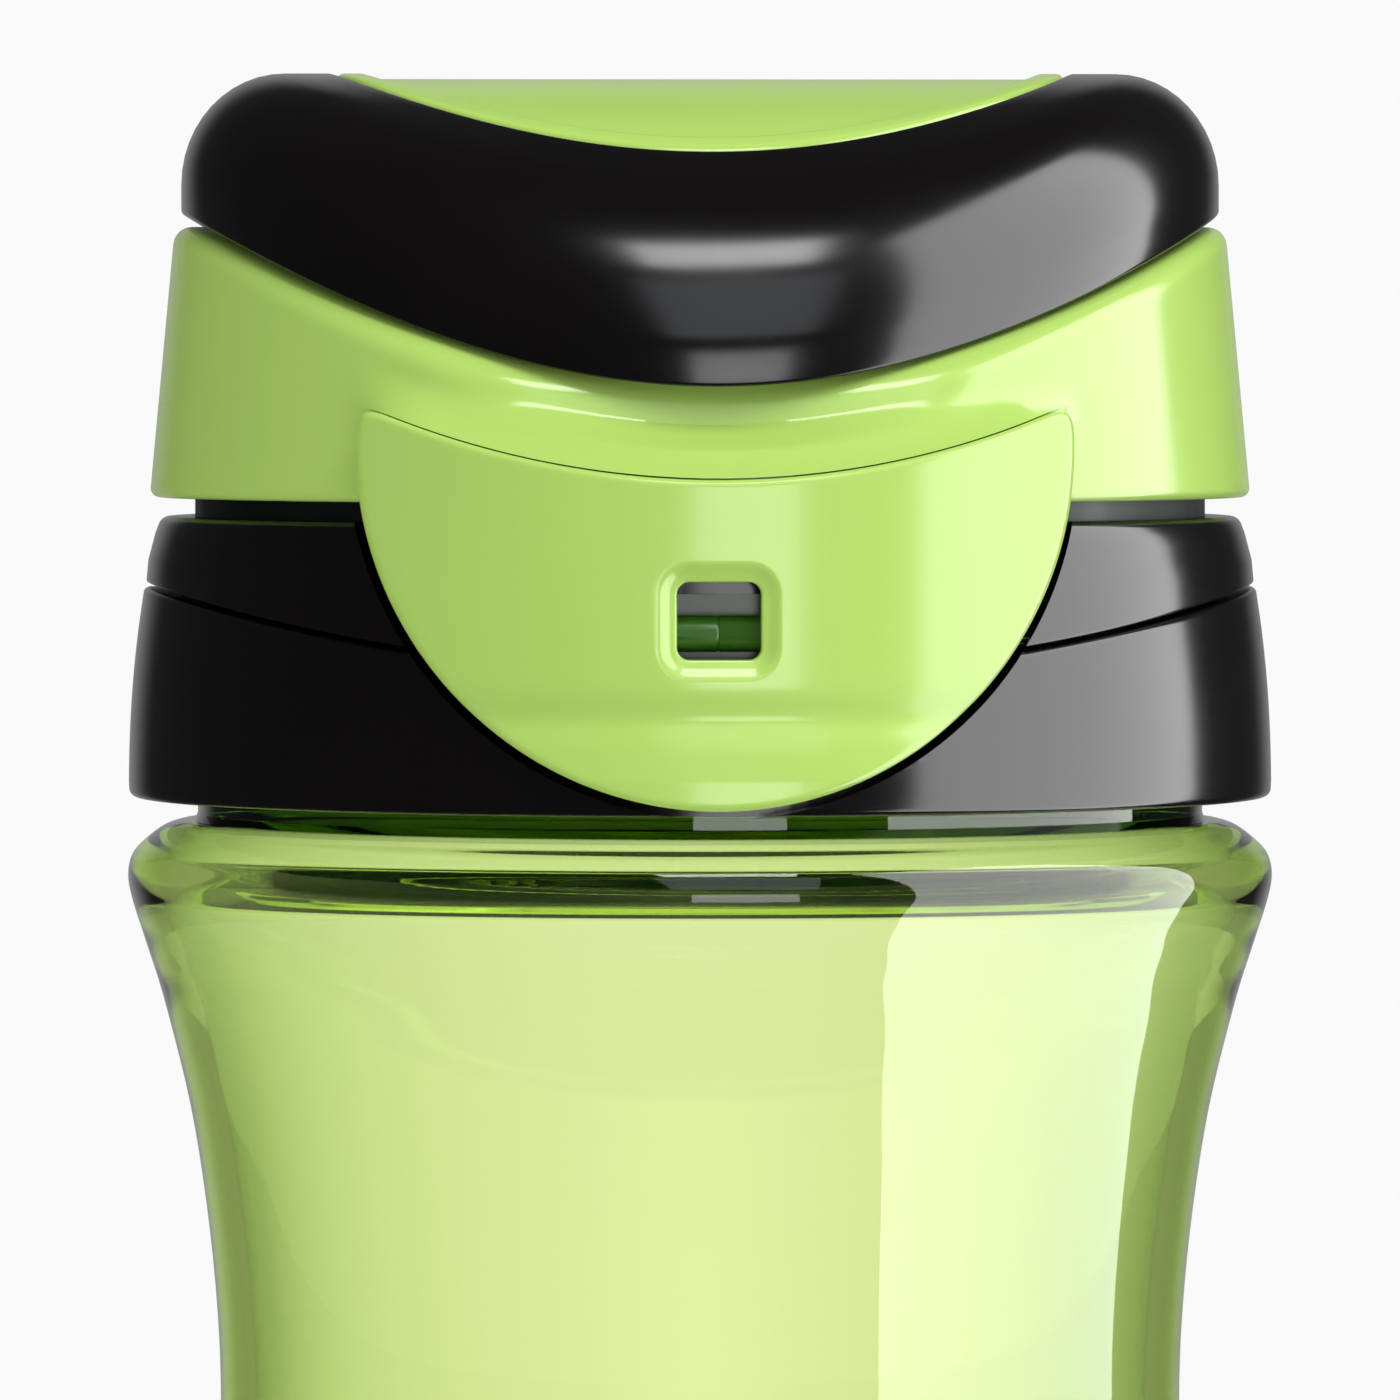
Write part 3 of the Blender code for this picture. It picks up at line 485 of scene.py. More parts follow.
def relief(tree, shader, value, depth, strength=1.0):
    bump = tree.nodes.new("ShaderNodeBump")
    bump.inputs["Strength"].default_value = strength
    bump.inputs["Distance"].default_value = depth * MM
    tree.links.new(value, bump.inputs["Height"])
    tree.links.new(bump.outputs[0], shader.inputs["Normal"])


def moulded(name, dark, light, gloss, grain=0.0004, grain_size=0.25):
    """gloss is (smoothest, roughest); grain its depth in mm; size in mm."""
    material = bpy.data.materials.new(name)
    material.use_nodes = True
    tree = material.node_tree
    shader = tree.nodes["Principled BSDF"]
    cloud = between(tree, noise(tree, 45.0, 3.0), 0.0, 1.0)
    tree.links.new(blend_colours(tree, cloud, dark, light), shader.inputs["Base Color"])
    tree.links.new(between(tree, noise(tree, 160.0, 4.0), *gloss), shader.inputs["Roughness"])
    relief(tree, shader, noise(tree, 1000.0 / grain_size, 2.0), grain)
    return material


green = moulded("green_plastic", (0.455, 0.70, 0.145), (0.47, 0.715, 0.15), (0.15, 0.18))
# deep_green is the green plastic darkened as painted shade, for the pin in shadow behind the tab's
# window.
deep_green = moulded("deep_green_plastic", (0.03, 0.11, 0.008), (0.04, 0.13, 0.012), (0.2, 0.25))
black = moulded("black_plastic", (0.0032, 0.0024, 0.003), (0.0045, 0.0034, 0.0042), (0.15, 0.18))
silicone = moulded("milky_silicone", (0.74, 0.78, 0.72), (0.82, 0.85, 0.80), (0.42, 0.55), 0.006)
# The seal rubber's near-black is painted shade for the shadowed gap between deck and cap.
dark_seal = moulded("dark_seal_rubber", (0.004, 0.010, 0.013), (0.006, 0.014, 0.018), (0.45, 0.6))

# %% [markdown]
# The bottle's wall is clear, with a green tint in the plastic itself. So the
# skin lets light through and the space under it absorbs: a longer way through
# is a deeper green. Layer Weight deepens the skin where it turns away.

# %% Clear tinted wall and spring steel
def make_clear():
    """Gloss skin over a tinted volume: the longer the way through, the deeper."""
    material = bpy.data.materials.new("clear_green_wall")
    material.use_nodes = True
    tree = material.node_tree
    shader = tree.nodes["Principled BSDF"]
    shader.inputs["Transmission Weight"].default_value = 1.0
    shader.inputs["IOR"].default_value = 1.5
    tree.links.new(between(tree, noise(tree, 90.0, 3.0), 0.012, 0.03), shader.inputs["Roughness"])
    relief(tree, shader, noise(tree, 55.0, 1.0, (1.0, 1.0, 0.4)), 0.015)
    edge = tree.nodes.new("ShaderNodeLayerWeight")
    edge.inputs["Blend"].default_value = 0.3
    deepen = blend_colours(tree, edge.outputs["Facing"], (0.99, 1.0, 0.96), (0.28, 0.54, 0.11))
    tree.links.new(deepen, shader.inputs["Base Color"])
    tint = tree.nodes.new("ShaderNodeVolumeAbsorption")
    tint.inputs["Color"].default_value = (0.81, 0.96, 0.04, 1.0)
    tint.inputs["Density"].default_value = 200.0
    tree.links.new(tint.outputs[0], tree.nodes["Material Output"].inputs["Volume"])
    return material


def make_steel():
    material = moulded("spring_steel", (0.52, 0.52, 0.54), (0.62, 0.62, 0.64), (0.2, 0.34), 0.002)
    material.node_tree.nodes["Principled BSDF"].inputs["Metallic"].default_value = 1.0
    return material


clear_green = make_clear()
steel = make_steel()


def dress(piece, finish, body, slot, *nodes):
    """Finish, body, record slot (not used) and the nodes that this piece stands for."""
    piece.data.materials.clear()
    piece.data.materials.append(finish)
    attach(piece, body)
    if nodes:
        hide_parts(*nodes)
    print(piece.name, "faces:", len(piece.data.polygons))
    return piece


# %% [markdown]
# ## Bottle
# A waisted bottle of clear tinted plastic, blown in one piece. Its outside and
# inside are two flowing curves about two millimetres apart, joined over the
# rim. The colour comes from the thickness of the wall, which is why both
# surfaces are modelled and the shell is closed.

# %% Bottle wall
BEAD_R = 31.7                    # plain band between shoulder and thread
BEAD_LOW = 143.5
BEAD_TOP = 144.8
NECK_R = 29.5
MOUTH_R = 27.2


def bottle_outline():
    outside = flowing([
        (0.0, 3.0), (12.0, 2.9), (20.0, 2.5), (24.5, 1.2), (26.5, 0.15), (28.5, 0.0), (30.6, 0.2),
        (32.6, 1.3), (33.8, 3.6), (34.3, 8.0), (34.45, 20.0), (33.9, 44.0), (32.2, 68.0),
        (30.8, 88.0), (30.3, 104.0), (30.62, 113.5), (31.9, 123.5), (33.7, 131.2), (35.0, 135.4),
        (35.8, 137.9), (SHOULDER_R, 139.5), (35.85, 140.8), (35.1, 141.7), (33.9, 142.6),
        (32.9, 142.95), (32.1, 143.0),
    ], 6)
    band = rounded([
        (31.9, 143.0), (BEAD_R, BEAD_LOW, 0.3), (BEAD_R, BEAD_TOP, 0.35), (NECK_R, BEAD_TOP + 0.2, 0.3),
        (NECK_R, RIM_Z, 0.8), (MOUTH_R, RIM_Z, 0.5), (MOUTH_R, 147.2),
    ], closed=False)
    inside = flowing([
        (27.2, 146.6), (27.25, 145.4), (27.6, 144.4), (28.6, 143.5), (30.0, 142.6), (31.4, 141.75),
        (32.6, 140.95), (33.5, 140.0), (33.85, 139.0), (33.7, 137.6), (32.6, 134.4), (31.4, 130.6),
        (29.7, 123.2), (28.45, 113.4), (28.1, 104.0),
        (28.6, 88.0), (30.0, 68.0), (31.7, 44.0), (32.2, 20.0), (31.9, 9.0), (30.6, 5.6),
        (28.0, 4.6), (20.0, 5.1), (10.0, 5.5), (0.0, 5.6),
    ], 6)
    return [*outside, *refined(band, 1.0, closed=False), *inside]


# %% [markdown]
# Two ridges climb the neck, half a turn apart, and the lid screws down on them.
# Each is a bar bent along a helix, and its ends fade into the neck.

# %% Neck thread
THREAD_STARTS = 2
THREAD_LEAD = 8.0
THREAD_TURNS = 0.8
THREAD_HEIGHT = 1.3
THREAD_LOW = 147.8
THREAD_STEPS = 96
THREAD_SINK = 0.5                # how far the ridge is rooted in the neck
THREAD_FOOT = 0.95               # half its height at the neck
THREAD_CREST = 0.5               # half its height at the crest
THREAD_FADE = 6                  # each end fades over about a sixth of the length
THREAD_LEAST = 0.12


def thread_ridge(start):
    rings = []
    for step in range(THREAD_STEPS + 1):
        share = step / THREAD_STEPS
        to_end = min(THREAD_FADE * share, THREAD_FADE * (1 - share))
        fade = min(1.0, to_end + THREAD_LEAST)
        turn = THREAD_TURNS * share
        angle = 2 * math.pi * (turn + start / THREAD_STARTS)
        tip = NECK_R + THREAD_HEIGHT * fade
        root, foot, crest, soft = NECK_R - THREAD_SINK, THREAD_FOOT, THREAD_CREST, 0.2 * fade
        profile = rounded([
            (root, -foot), (NECK_R, -foot), (tip, -crest, soft),
            (tip, crest, soft), (NECK_R, foot), (root, foot),
        ])
        height = THREAD_LOW + THREAD_LEAD * turn
        rings.append([(r * math.cos(angle), r * math.sin(angle), height + z) for r, z in profile])
    return skin("thread_ridge", rings, capped=True)


bottle = turned("bottle_wall", bottle_outline(), closed=False)
for start in range(THREAD_STARTS):
    weld(bottle, thread_ridge(start))
print("bottle height", round(RIM_Z, 1), "mm, widest", round(2 * SHOULDER_R, 1), "mm")
dress(bottle, clear_green, "bottle", "clear_green", "bottle_body")

# %% [markdown]
# ## Lid: collar and deck
# Two black rings clad the screw lid. They meet on a line that dips in front.
# Both are turned flat and bent by the saddle tree; the pocket behind the latch
# tab is then cut out of both.

# %% Collar and deck rings
SHELL_INNER_R = 32.6
LEVEL_BELOW = 150.5              # the collar is level up to here
LID_DRAFT = 0.123                # radius gained per drop of the parting line
COLLAR_BULGE = 13.1              # height over which the collar draws in by 1 mm
COLLAR_CURVE = 2.2


def collar_side():
    heights = [COLLAR_LOW + 1.0 + k * 0.8 for k in range(15)]
    return [(COLLAR_R - ((z - COLLAR_LOW) / COLLAR_BULGE) ** COLLAR_CURVE, z) for z in heights]


def make_collar():
    flat = lathe("collar_ring", [
        (SHELL_INNER_R, COLLAR_LOW), (COLLAR_R - 0.05, COLLAR_LOW, 0.55), *collar_side(),
        (COLLAR_R - 1.0, PARTING_Z, 0.4), (SHELL_INNER_R, PARTING_Z),
    ])
    return saddled(flat, black, LEVEL_ARC, PARTING_ARC, LEVEL_BELOW, PARTING_Z - 1.0, LID_DRAFT)


def make_deck():
    foot = PARTING_Z + 0.3
    flat = lathe("deck_ring", [
        (SHELL_INNER_R, foot), (COLLAR_R - 1.12, foot, 0.15), (34.8, 159.4), (34.35, 161.1),
        (33.95, DECK_TOP, 0.75), (32.0, DECK_TOP, 0.2), (32.0, 161.2), (SHELL_INNER_R, 161.2),
    ], 0.5)
    return saddled(flat, black, PARTING_ARC, LEVEL_ARC, foot, 161.0, LID_DRAFT)


collar = make_collar()
deck = make_deck()

# %% [markdown]
# ## The tab's outline
# In front sits a round tab, cut off at the top by a hollow arc. Its outline is
# a circle and that arc, walked in even steps and then relaxed, which rounds the
# two corners the way a mould cutter would.

# %% Tab outline
TAB_DISC_Z = 166.7
TAB_DISC_R = TAB_DISC_Z - TAB_LOW
TAB_CORNER_X = 21.6
TAB_TOP_Z = 164.8
TAB_TOP_ARC = 54.0
WINDOW_Z = 156.3
WINDOW_WIDTH = 5.05
WINDOW_HEIGHT = 4.67


def even_steps(points, count):
    """The same closed line with evenly spaced points."""
    points = [Vector(p) for p in points]
    lengths = [(b - a).length for a, b in zip(points, points[1:] + points[:1])]
    total = sum(lengths)
    result, k, walked = [], 0, 0.0
    for step in range(count):
        target = total * step / count
        while walked + lengths[k] < target:
            walked += lengths[k]
            k += 1
        share = (target - walked) / lengths[k]
        result.append(points[k].lerp(points[(k + 1) % len(points)], share))
    return result


def relaxed(points, passes):
    for _ in range(passes):
        count = len(points)
        points = [(points[k - 1] + 2 * points[k] + points[(k + 1) % count]) / 4 for k in range(count)]
    return points


def tab_outline(grow=0.0, count=320, passes=12):
    """Closed (x, z) line of the tab, from its right-hand corner down and round."""
    radius = TAB_DISC_R + grow
    disc, top = [], []
    for k in range(241):
        angle = math.radians(30.0 - 240.0 * k / 240)
        x, z = radius * math.cos(angle), TAB_DISC_Z + radius * math.sin(angle)
        if z < TAB_TOP_Z + grow + arc_drop(TAB_TOP_ARC, x):
            disc.append((x, z))
    for k in range(121):
        x = radius * (2 * k / 120 - 1)
        z = TAB_TOP_Z + grow + arc_drop(TAB_TOP_ARC, x)
        if math.hypot(x, z - TAB_DISC_Z) < radius:
            top.append((x, z))
    return relaxed(even_steps(disc + top, count), passes)


def pocket_tool(inner_r, gap=0.55):
    """A curved slab with the tab's outline, a little larger, as a cutter."""
    band = turned("pocket_band", [(inner_r, 140), (40, 140), (40, 172), (inner_r, 172)], sides=192)
    window = slab("pocket_outline", tab_outline(gap), -44, -20, axis="y")
    return carve(band, window, "INTERSECT")


POCKET_R = 33.4
carve(collar, pocket_tool(POCKET_R))
latch_room = block("latch_room", (-7.95, -40, PIN_Z - 2.4), (7.95, -25, PIN_Z + 2.4))
carve(deck, latch_room)
carve(deck, pocket_tool(POCKET_R))
hinge_room = block("hinge_room", (-12.5, 25, HINGE_Z - 2.4), (12.5, 40, 170))
carve(deck, hinge_room)
dress(collar, black, "lid", "black", "collar_shell")
dress(deck, black, "lid", "black", "deck_shell")

# %% [markdown]
# ## Flip cap
# A green shell with a slightly drafted wall. Its top edge is the saddle that
# the crown sits on, with a rounded shoulder and a shadow groove under the
# crown. In front a soft brow swells out to meet the tab's upper edge.

# %% Cap shell
CAP_WALL = 2.3
GROOVE = 0.75                    # depth of the shadow groove under the crown
GROOVE_R = 30.9                  # the groove's inner edge


def cap_side_r(z):
    return CAP_R - CAP_DRAFT * (z - CAP_LOW)


def make_cap():
    rim = SEAM_Z - GROOVE
    flat = lathe("cap_wall", [
        (0.0, SEAM_Z), (30.2, SEAM_Z, 0.3), (GROOVE_R, rim, 0.4), (cap_side_r(rim), rim, 1.25),
        (CAP_R, CAP_LOW, 0.55), (CAP_R - CAP_WALL, CAP_LOW, 0.4),
        (cap_side_r(SEAM_Z) - CAP_WALL, SEAM_Z - CAP_WALL, 2.5), (0.0, SEAM_Z - CAP_WALL),
    ], 0.45, closed=False, sides=360)
    return saddled(flat, green, LEVEL_ARC, SEAM_ARC, CAP_LOW + 0.8, SEAM_Z - CAP_WALL - 0.5, CAP_DRAFT)


BROW_R = TAB_FRONT_R - 0.6
BROW_GAP = 0.08                  # between the tab's edge and the brow
BROW_HALF = TAB_CORNER_X + 1.5   # nothing moves further out than this
BROW_FADE = 6.0                  # width over which the brow runs out at its ends
BROW_START = 0.3                 # share of the way down where the sweep begins
BROW_CURVE = 1.8
SCOOP_DEPTH = 3.0                # how far the wall dives in under the crown
SCOOP_HALF = 19.0                # half the scoop's width


def raise_brow(cap):
    """In front the wall dives in under the crown and sweeps out to the tab."""
    for vertex in cap.data.vertices:
        x, y, z = vertex.co / MM
        radius = math.hypot(x, y)
        if y > 0 or radius < GROOVE_R or abs(x) > BROW_HALF:
            continue
        outer = cap_side_r(z)
        front_y = math.sqrt(outer * outer - x * x)
        top = SEAM_Z - GROOVE - arc_drop(SEAM_ARC, front_y)
        edge = TAB_TOP_Z + arc_drop(TAB_TOP_ARC, x)
        down = (top - z) / (top - edge)
        ends = 1.0 - ease((abs(x) - TAB_CORNER_X + 5.0) / BROW_FADE)
        middle = 1.0 - ease(abs(x) / SCOOP_HALF)
        scoop = SCOOP_DEPTH * middle * (1.0 - ease((down - 0.05) / 0.5))
        swept = min(1.0, max(0.0, (down - BROW_START) / 0.7)) ** BROW_CURVE
        sweep = (BROW_R - outer) * ends * swept
        sweep *= 1.0 - ease((edge - 1.0 - z) / 2.0)
        outward = max(0.0, (radius - GROOVE_R) / (outer - GROOVE_R)) ** 0.7
        if radius < outer - CAP_WALL + 0.3 and z < top - 1.0:
            continue
        grown = (radius + (sweep - scoop) * outward) / radius
        vertex.co.x *= grown
        vertex.co.y *= grown


HOOK_X = 16.5
HOOK_HALF = 2.5
HOOK_Z = 165.3
HOOK_ROOM = 0.6                  # free space at each end of a hook

cap = make_cap()
raise_brow(cap)
carve(cap, pocket_tool(34.75, BROW_GAP))
for near, far in both_sides(HOOK_X - HOOK_HALF - HOOK_ROOM, HOOK_X + HOOK_HALF + HOOK_ROOM):
    notch = block("hook_notch", (near, -36, CAP_LOW - 1), (far, -24, HOOK_Z + 1.0))
    carve(cap, notch)

# %% [markdown]
# The cap turns on a pin behind it. Two knuckles come down from its wall and are
# welded on with a Boolean union, then bored for the pin.

# %% Cap knuckles and plug boss
KNUCKLE_R = high("hinge_pin").y - HINGE_Y + 1.2
PIN_HOLE_R = 1.02


def round_end(y, z, radius, first, last, steps=20):
    points = []
    for k in range(steps + 1):
        angle = math.radians(first + (last - first) * k / steps)
        points.append((y + radius * math.cos(angle), z + radius * math.sin(angle)))
    return points


def cap_knuckle(near, far):
    outline = [(33.2, HINGE_Z + 0.4), (33.2, CAP_LOW + 2.0), (34.2, CAP_LOW + 2.0)]
    outline += [(HINGE_Y + 0.9, CAP_LOW)]
    outline += round_end(HINGE_Y, HINGE_Z, KNUCKLE_R, 60, -150)
    return slab("cap_knuckle", outline, near, far)


for near, far in both_sides(4.2, 8.0):
    weld(cap, cap_knuckle(near, far))
carve(cap, bar("cap_bore", 10, HINGE_Y, HINGE_Z, PIN_HOLE_R))
boss = turned("plug_boss", rounded([
    (0.0, 176.8), (9.2, 176.8, 0.4), (9.2, SEAM_Z - 1.2), (0.0, SEAM_Z - 1.2),
], closed=False), sides=SMALL_SIDES, centre=(0.0, SPOUT_Y), closed=False)
weld(cap, boss)
dress(cap, green, "cap", "green", "cap_shell")

# %% [markdown]
# ## Crown and inlay
# A thick black saddle with a big soft shoulder caps the shell, and a green disc
# with a rounded lip is let into its top. The shoulder is a quarter ellipse.

# %% Crown
CROWN_LOW = SEAM_Z - 0.1
SHOULDER_ACROSS = 6.5
SHOULDER_DOWN = 7.0
RECESS_R = INLAY_R + 0.3


def make_crown():
    shoulder = []
    for k in range(13):
        angle = math.radians(90.0 - 90.0 * k / 12)
        shoulder.append((
            CROWN_R - SHOULDER_ACROSS + SHOULDER_ACROSS * math.cos(angle),
            TOP_Z - SHOULDER_DOWN + SHOULDER_DOWN * math.sin(angle),
        ))
    flat = lathe("crown_saddle", [
        (0.0, TOP_Z - 1.9), (RECESS_R, TOP_Z - 1.9, 0.2), (RECESS_R, TOP_Z, 0.3), *shoulder,
        (CROWN_R, CROWN_LOW, 0.45), (CROWN_R - 2.4, CROWN_LOW, 0.3),
        (CROWN_R - 3.0, TOP_Z - 5.4, 1.5), (24.0, TOP_Z - 4.1, 1.0), (0.0, TOP_Z - 4.1),
    ], closed=False)
    return saddled(flat, black, SEAM_ARC, CROWN_ARC, CROWN_LOW, CROWN_LOW + 3.5)


crown = make_crown()
dress(crown, black, "cap", "black", "crown_grip")

# %% [markdown]
# The inlay follows the crown's bend with the same arc for both its heights.
# Its rounded lip stands a third of a millimetre proud of the disc inside it.

# %% Inlay
def make_inlay():
    lip = INLAY_R - 1.5
    flat = lathe("crown_disc", [
        (0.0, TOP_Z - 0.35), (lip - 0.8, TOP_Z - 0.35, 0.8), (lip, TOP_Z, 0.8),
        (INLAY_R, TOP_Z, 0.45), (INLAY_R, TOP_Z - 1.6, 0.2), (0.0, TOP_Z - 1.6),
    ], closed=False)
    return saddled(flat, green, CROWN_ARC, CROWN_ARC, SEAM_Z, TOP_Z)


dress(make_inlay(), green, "cap", "green", "crown_inlay")

# %% [markdown]
# ## Latch tab
# The tab is one continuous skin: rings of points run from the window's edge out
# to the tab's outline, over its rounded rim and back on the inside. A shallow
# dish frames the window, and the lower lip flares out for a fingertip.

# %% Tab skin
TAB_FACE_R = TAB_FRONT_R - 0.5
TAB_BACK_R = 35.1
TAB_RIM = 0.45
DISH_WIDTH = 1.3
DISH_DEPTH = 0.5
LIP_TOP = TAB_LOW + 5.4          # the lip flares out below this height
FLARE_SLOPE = 0.14
FLARE_SOFT = 0.35                # rounds the bend where the flare begins
FLARE_MOST = 0.46
VALLEY_DEPTH = 0.28              # a shallow crease just above the lip
VALLEY_HALF = 1.1


def window_loop(directions, grow):
    """The window's rounded rectangle, grown, hit along the given directions."""
    loop = []
    corner = 0.75 + grow
    half_w = WINDOW_WIDTH / 2 + grow - corner
    half_h = WINDOW_HEIGHT / 2 + grow - corner
    for way in directions:
        reach = 1.0
        for _ in range(24):
            px, pz = abs(way.x) * reach, abs(way.y) * reach
            out_x, out_z = max(px - half_w, 0.0), max(pz - half_h, 0.0)
            inside = min(max(px - half_w, pz - half_h), 0.0)
            reach -= (math.hypot(out_x, out_z) + inside - corner)
        loop.append(Vector((way.x * reach, WINDOW_Z + way.y * reach)))
    return loop


def inset(loop, distance):
    """Move a closed line inwards by a distance."""
    count = len(loop)
    result = []
    for k in range(count):
        along = (loop[(k + 1) % count] - loop[k - 1]).normalized()
        result.append(loop[k] + Vector((along.y, -along.x)) * -distance)
    return result


def on_tab(point, depth):
    """A front-view point put on the tab's curved face, some way under it."""
    lip = max(0.0, LIP_TOP - point.y)
    flare = FLARE_SLOPE * (math.hypot(lip, FLARE_SOFT) - FLARE_SOFT)
    valley = VALLEY_DEPTH * math.exp(-((point.y - LIP_TOP - 0.2) / VALLEY_HALF) ** 2)
    radius = TAB_FACE_R + min(flare, FLARE_MOST) - valley - depth
    return (point.x, -math.sqrt(radius * radius - point.x * point.x), point.y)


def make_tab():
    edge = tab_outline()
    centre = Vector((0.0, WINDOW_Z))
    ways = [(p - centre).normalized() for p in edge]
    turn = -1.0 if (inset(edge, 1.0)[0] - centre).length > (edge[0] - centre).length else 1.0
    thick = TAB_FACE_R - TAB_BACK_R
    rings = []
    for k in range(8):
        angle = math.radians(90.0 * k / 7)
        distance = TAB_RIM * (1 - math.sin(angle))
        depth = TAB_RIM * (1 - math.cos(angle))
        loop = inset(edge, turn * distance)
        rings.append([on_tab(p, depth) for p in loop])
    rings.append([on_tab(p, thick - 0.3) for p in edge])
    inner_edge = inset(edge, turn * 0.3)
    rings.append([on_tab(p, thick) for p in inner_edge])
    back = window_loop(ways, 0.0)
    for k in range(1, 13):
        share = k / 12
        rings.append([on_tab(a.lerp(b, share), thick) for a, b in zip(inner_edge, back)])
    rings.append([on_tab(p, DISH_DEPTH + 0.3) for p in window_loop(ways, 0.0)])
    rings.append([on_tab(p, DISH_DEPTH + 0.09) for p in window_loop(ways, 0.06)])
    for k in range(9):
        share = k / 8
        loop = window_loop(ways, 0.2 + (DISH_WIDTH - 0.2) * share)
        rings.append([on_tab(p, DISH_DEPTH * (1 - ease(share))) for p in loop])
    face_edge = inset(edge, turn * TAB_RIM)
    frame_loop = window_loop(ways, DISH_WIDTH)
    for k in range(1, 40):
        share = k / 40
        rings.append([on_tab(a.lerp(b, share), 0.0) for a, b in zip(frame_loop, face_edge)])
    rings = rings[8:] + [rings[k] for k in range(0, 8)]
    return skin("latch_face", rings, closed=True)


tab = make_tab()

# %% [markdown]
# Behind the face two lugs run on the latch pin and two hooks reach over the
# cap's lower edge. They are welded on, so that the tab stays one moulding.

# %% Tab lugs and hooks
TAB_LUG_R = 1.75
HOOK_TIP_R = 33.9                # how far in a hook reaches


def tab_lug(near, far):
    outline = [(-35.5, PIN_Z - TAB_LUG_R), (-35.5, PIN_Z + TAB_LUG_R)]
    outline += round_end(PIN_Y, PIN_Z, TAB_LUG_R, 90, -90)
    return slab("tab_lug", outline, near, far)


def tab_hook(side):
    rings = []
    for step in range(13):
        x = HOOK_X - HOOK_HALF + 2 * HOOK_HALF * step / 12
        profile = rounded([
            (HOOK_TIP_R, HOOK_Z - 0.5), (TAB_BACK_R + 0.6, HOOK_Z - 0.5),
            (TAB_BACK_R + 0.6, HOOK_Z + 0.5), (HOOK_TIP_R, HOOK_Z + 0.5, 0.35),
        ])
        rings.append([(side * x, -math.sqrt(r * r - x * x), z) for r, z in profile])
    return skin("tab_hook", rings, capped=True)


for side, (near, far) in zip((-1, 1), both_sides(2.9, 5.2)):
    weld(tab, tab_lug(near, far))
    weld(tab, tab_hook(side))
carve(tab, bar("tab_bore", 5.4, PIN_Y, PIN_Z, PIN_R + 0.12))
for near, far in both_sides(5.3, 8.1):
    carve(tab, bar("lug_relief", far, PIN_Y, PIN_Z, 1.85, start=near))
dress(tab, green, "latch", "green", "latch_tab")

# %% [markdown]
# The pin that the tab turns on shows through the tab's window. It is green plastic, darkened as painted
# shade for the shadow behind the window, and a fine groove runs round its middle.

# %% Latch pin with its centre seam
def make_latch_pin():
    half = high("latch_pin").x
    corners = rounded([
        (0.0, -half), (PIN_R, -half, 0.2), (PIN_R, -0.12), (PIN_R - 0.08, 0.0), (PIN_R, 0.12),
        (PIN_R, half, 0.2), (0.0, half),
    ], closed=False)
    return turned("latch_axle", corners, BAR_SIDES, (PIN_Y, PIN_Z), False, "x")


dress(make_latch_pin(), deep_green, "lid", "deep_green", "latch_pin")

# %% [markdown]
# ## Seal in the gap
# Between deck and cap sits the seal that the cap closes on. Its near-black colour is painted shade, and
# its sleeve runs down the lid's neck as a dark sheet of painted shade, so the gap reads as a black
# line.

# %% Cap seal
seal_r = high("cap_seal").x
# Near-black sleeve: painted shade filling the gap below the cap.
seal = lathe("neck_seal", [
    (31.72, DECK_TOP - 0.6), (31.85, DECK_TOP - 0.6), (31.85, 164.6), (seal_r, 164.9, 0.2),
    (seal_r - 0.2, 165.7, 0.2), (31.0, 165.7, 0.2), (31.0, 165.0), (31.72, 165.0),
], 1.0)
dress(seal, dark_seal, "lid", "dark_seal", "cap_seal")

# %% [markdown]
# ## Under the cap
# With the cap open the spout shows, and the plug that closes it. These are
# small turned pieces, finely stepped. All are milky rubber but the plug's
# holder. Finish names come from the record, so both models wear the same.

# %% Spout, plug and vent
PLATE_LOW = low("spout").z + 2.5
FLANGE_LOW = PLATE_LOW + 2.5
SPOUT_BORE_R = 6.2
SLOTS = {part["node"]: part["material_slot"] for part in frame["record"]["subparts"]}
FINISHES = {
    "clear_green": clear_green, "green": green, "deep_green": deep_green, "black": black,
    "silicone": silicone, "dark_seal": dark_seal, "steel": steel,
}


def small_turned(name, node, body, corners, centre_y, closed=True):
    piece = lathe(name, corners, 0.8, closed, SMALL_SIDES, (0.0, centre_y))
    return dress(piece, FINISHES[SLOTS[node]], body, SLOTS[node], node)


small_turned("drinking_spout", "spout", "lid", [
    (SPOUT_BORE_R, PLATE_LOW - 2.5, 0.2), (7.9, PLATE_LOW - 2.5, 0.2), (7.9, FLANGE_LOW),
    (11.0, FLANGE_LOW, 0.2), (11.0, FLANGE_LOW + 1.2, 0.5), (9.6, FLANGE_LOW + 1.9, 0.8),
    (8.9, FLANGE_LOW + 4.0, 1.5), (8.0, SPOUT_TOP - 1.2, 0.8), (7.4, SPOUT_TOP - 0.2, 0.3),
    (SPOUT_BORE_R + 0.4, SPOUT_TOP, 0.2), (SPOUT_BORE_R, SPOUT_TOP - 0.5, 0.3),
], SPOUT_Y)
carrier_top = high("plug_carrier").z
shelf = SPOUT_TOP + 2.2
small_turned("plug_holder", "plug_carrier", "cap", [
    (4.3, carrier_top), (9.3, carrier_top), (9.3, SPOUT_TOP + 0.5, 0.2),
    (8.7, SPOUT_TOP + 0.5, 0.2), (8.7, shelf), (4.3, shelf, 0.2),
], SPOUT_Y)
plug_low = SPOUT_TOP + 0.3
small_turned("soft_plug", "spout_plug", "cap", [
    (0.0, plug_low - 2.4), (3.6, plug_low - 2.2, 0.8), (4.7, plug_low - 1.4, 0.6),
    (5.5, plug_low, 0.3), (8.4, plug_low, 0.3), (8.4, plug_low + 1.6),
    (4.0, plug_low + 1.6), (4.0, plug_low + 3.3, 0.3), (0.0, plug_low + 3.3),
], SPOUT_Y, closed=False)
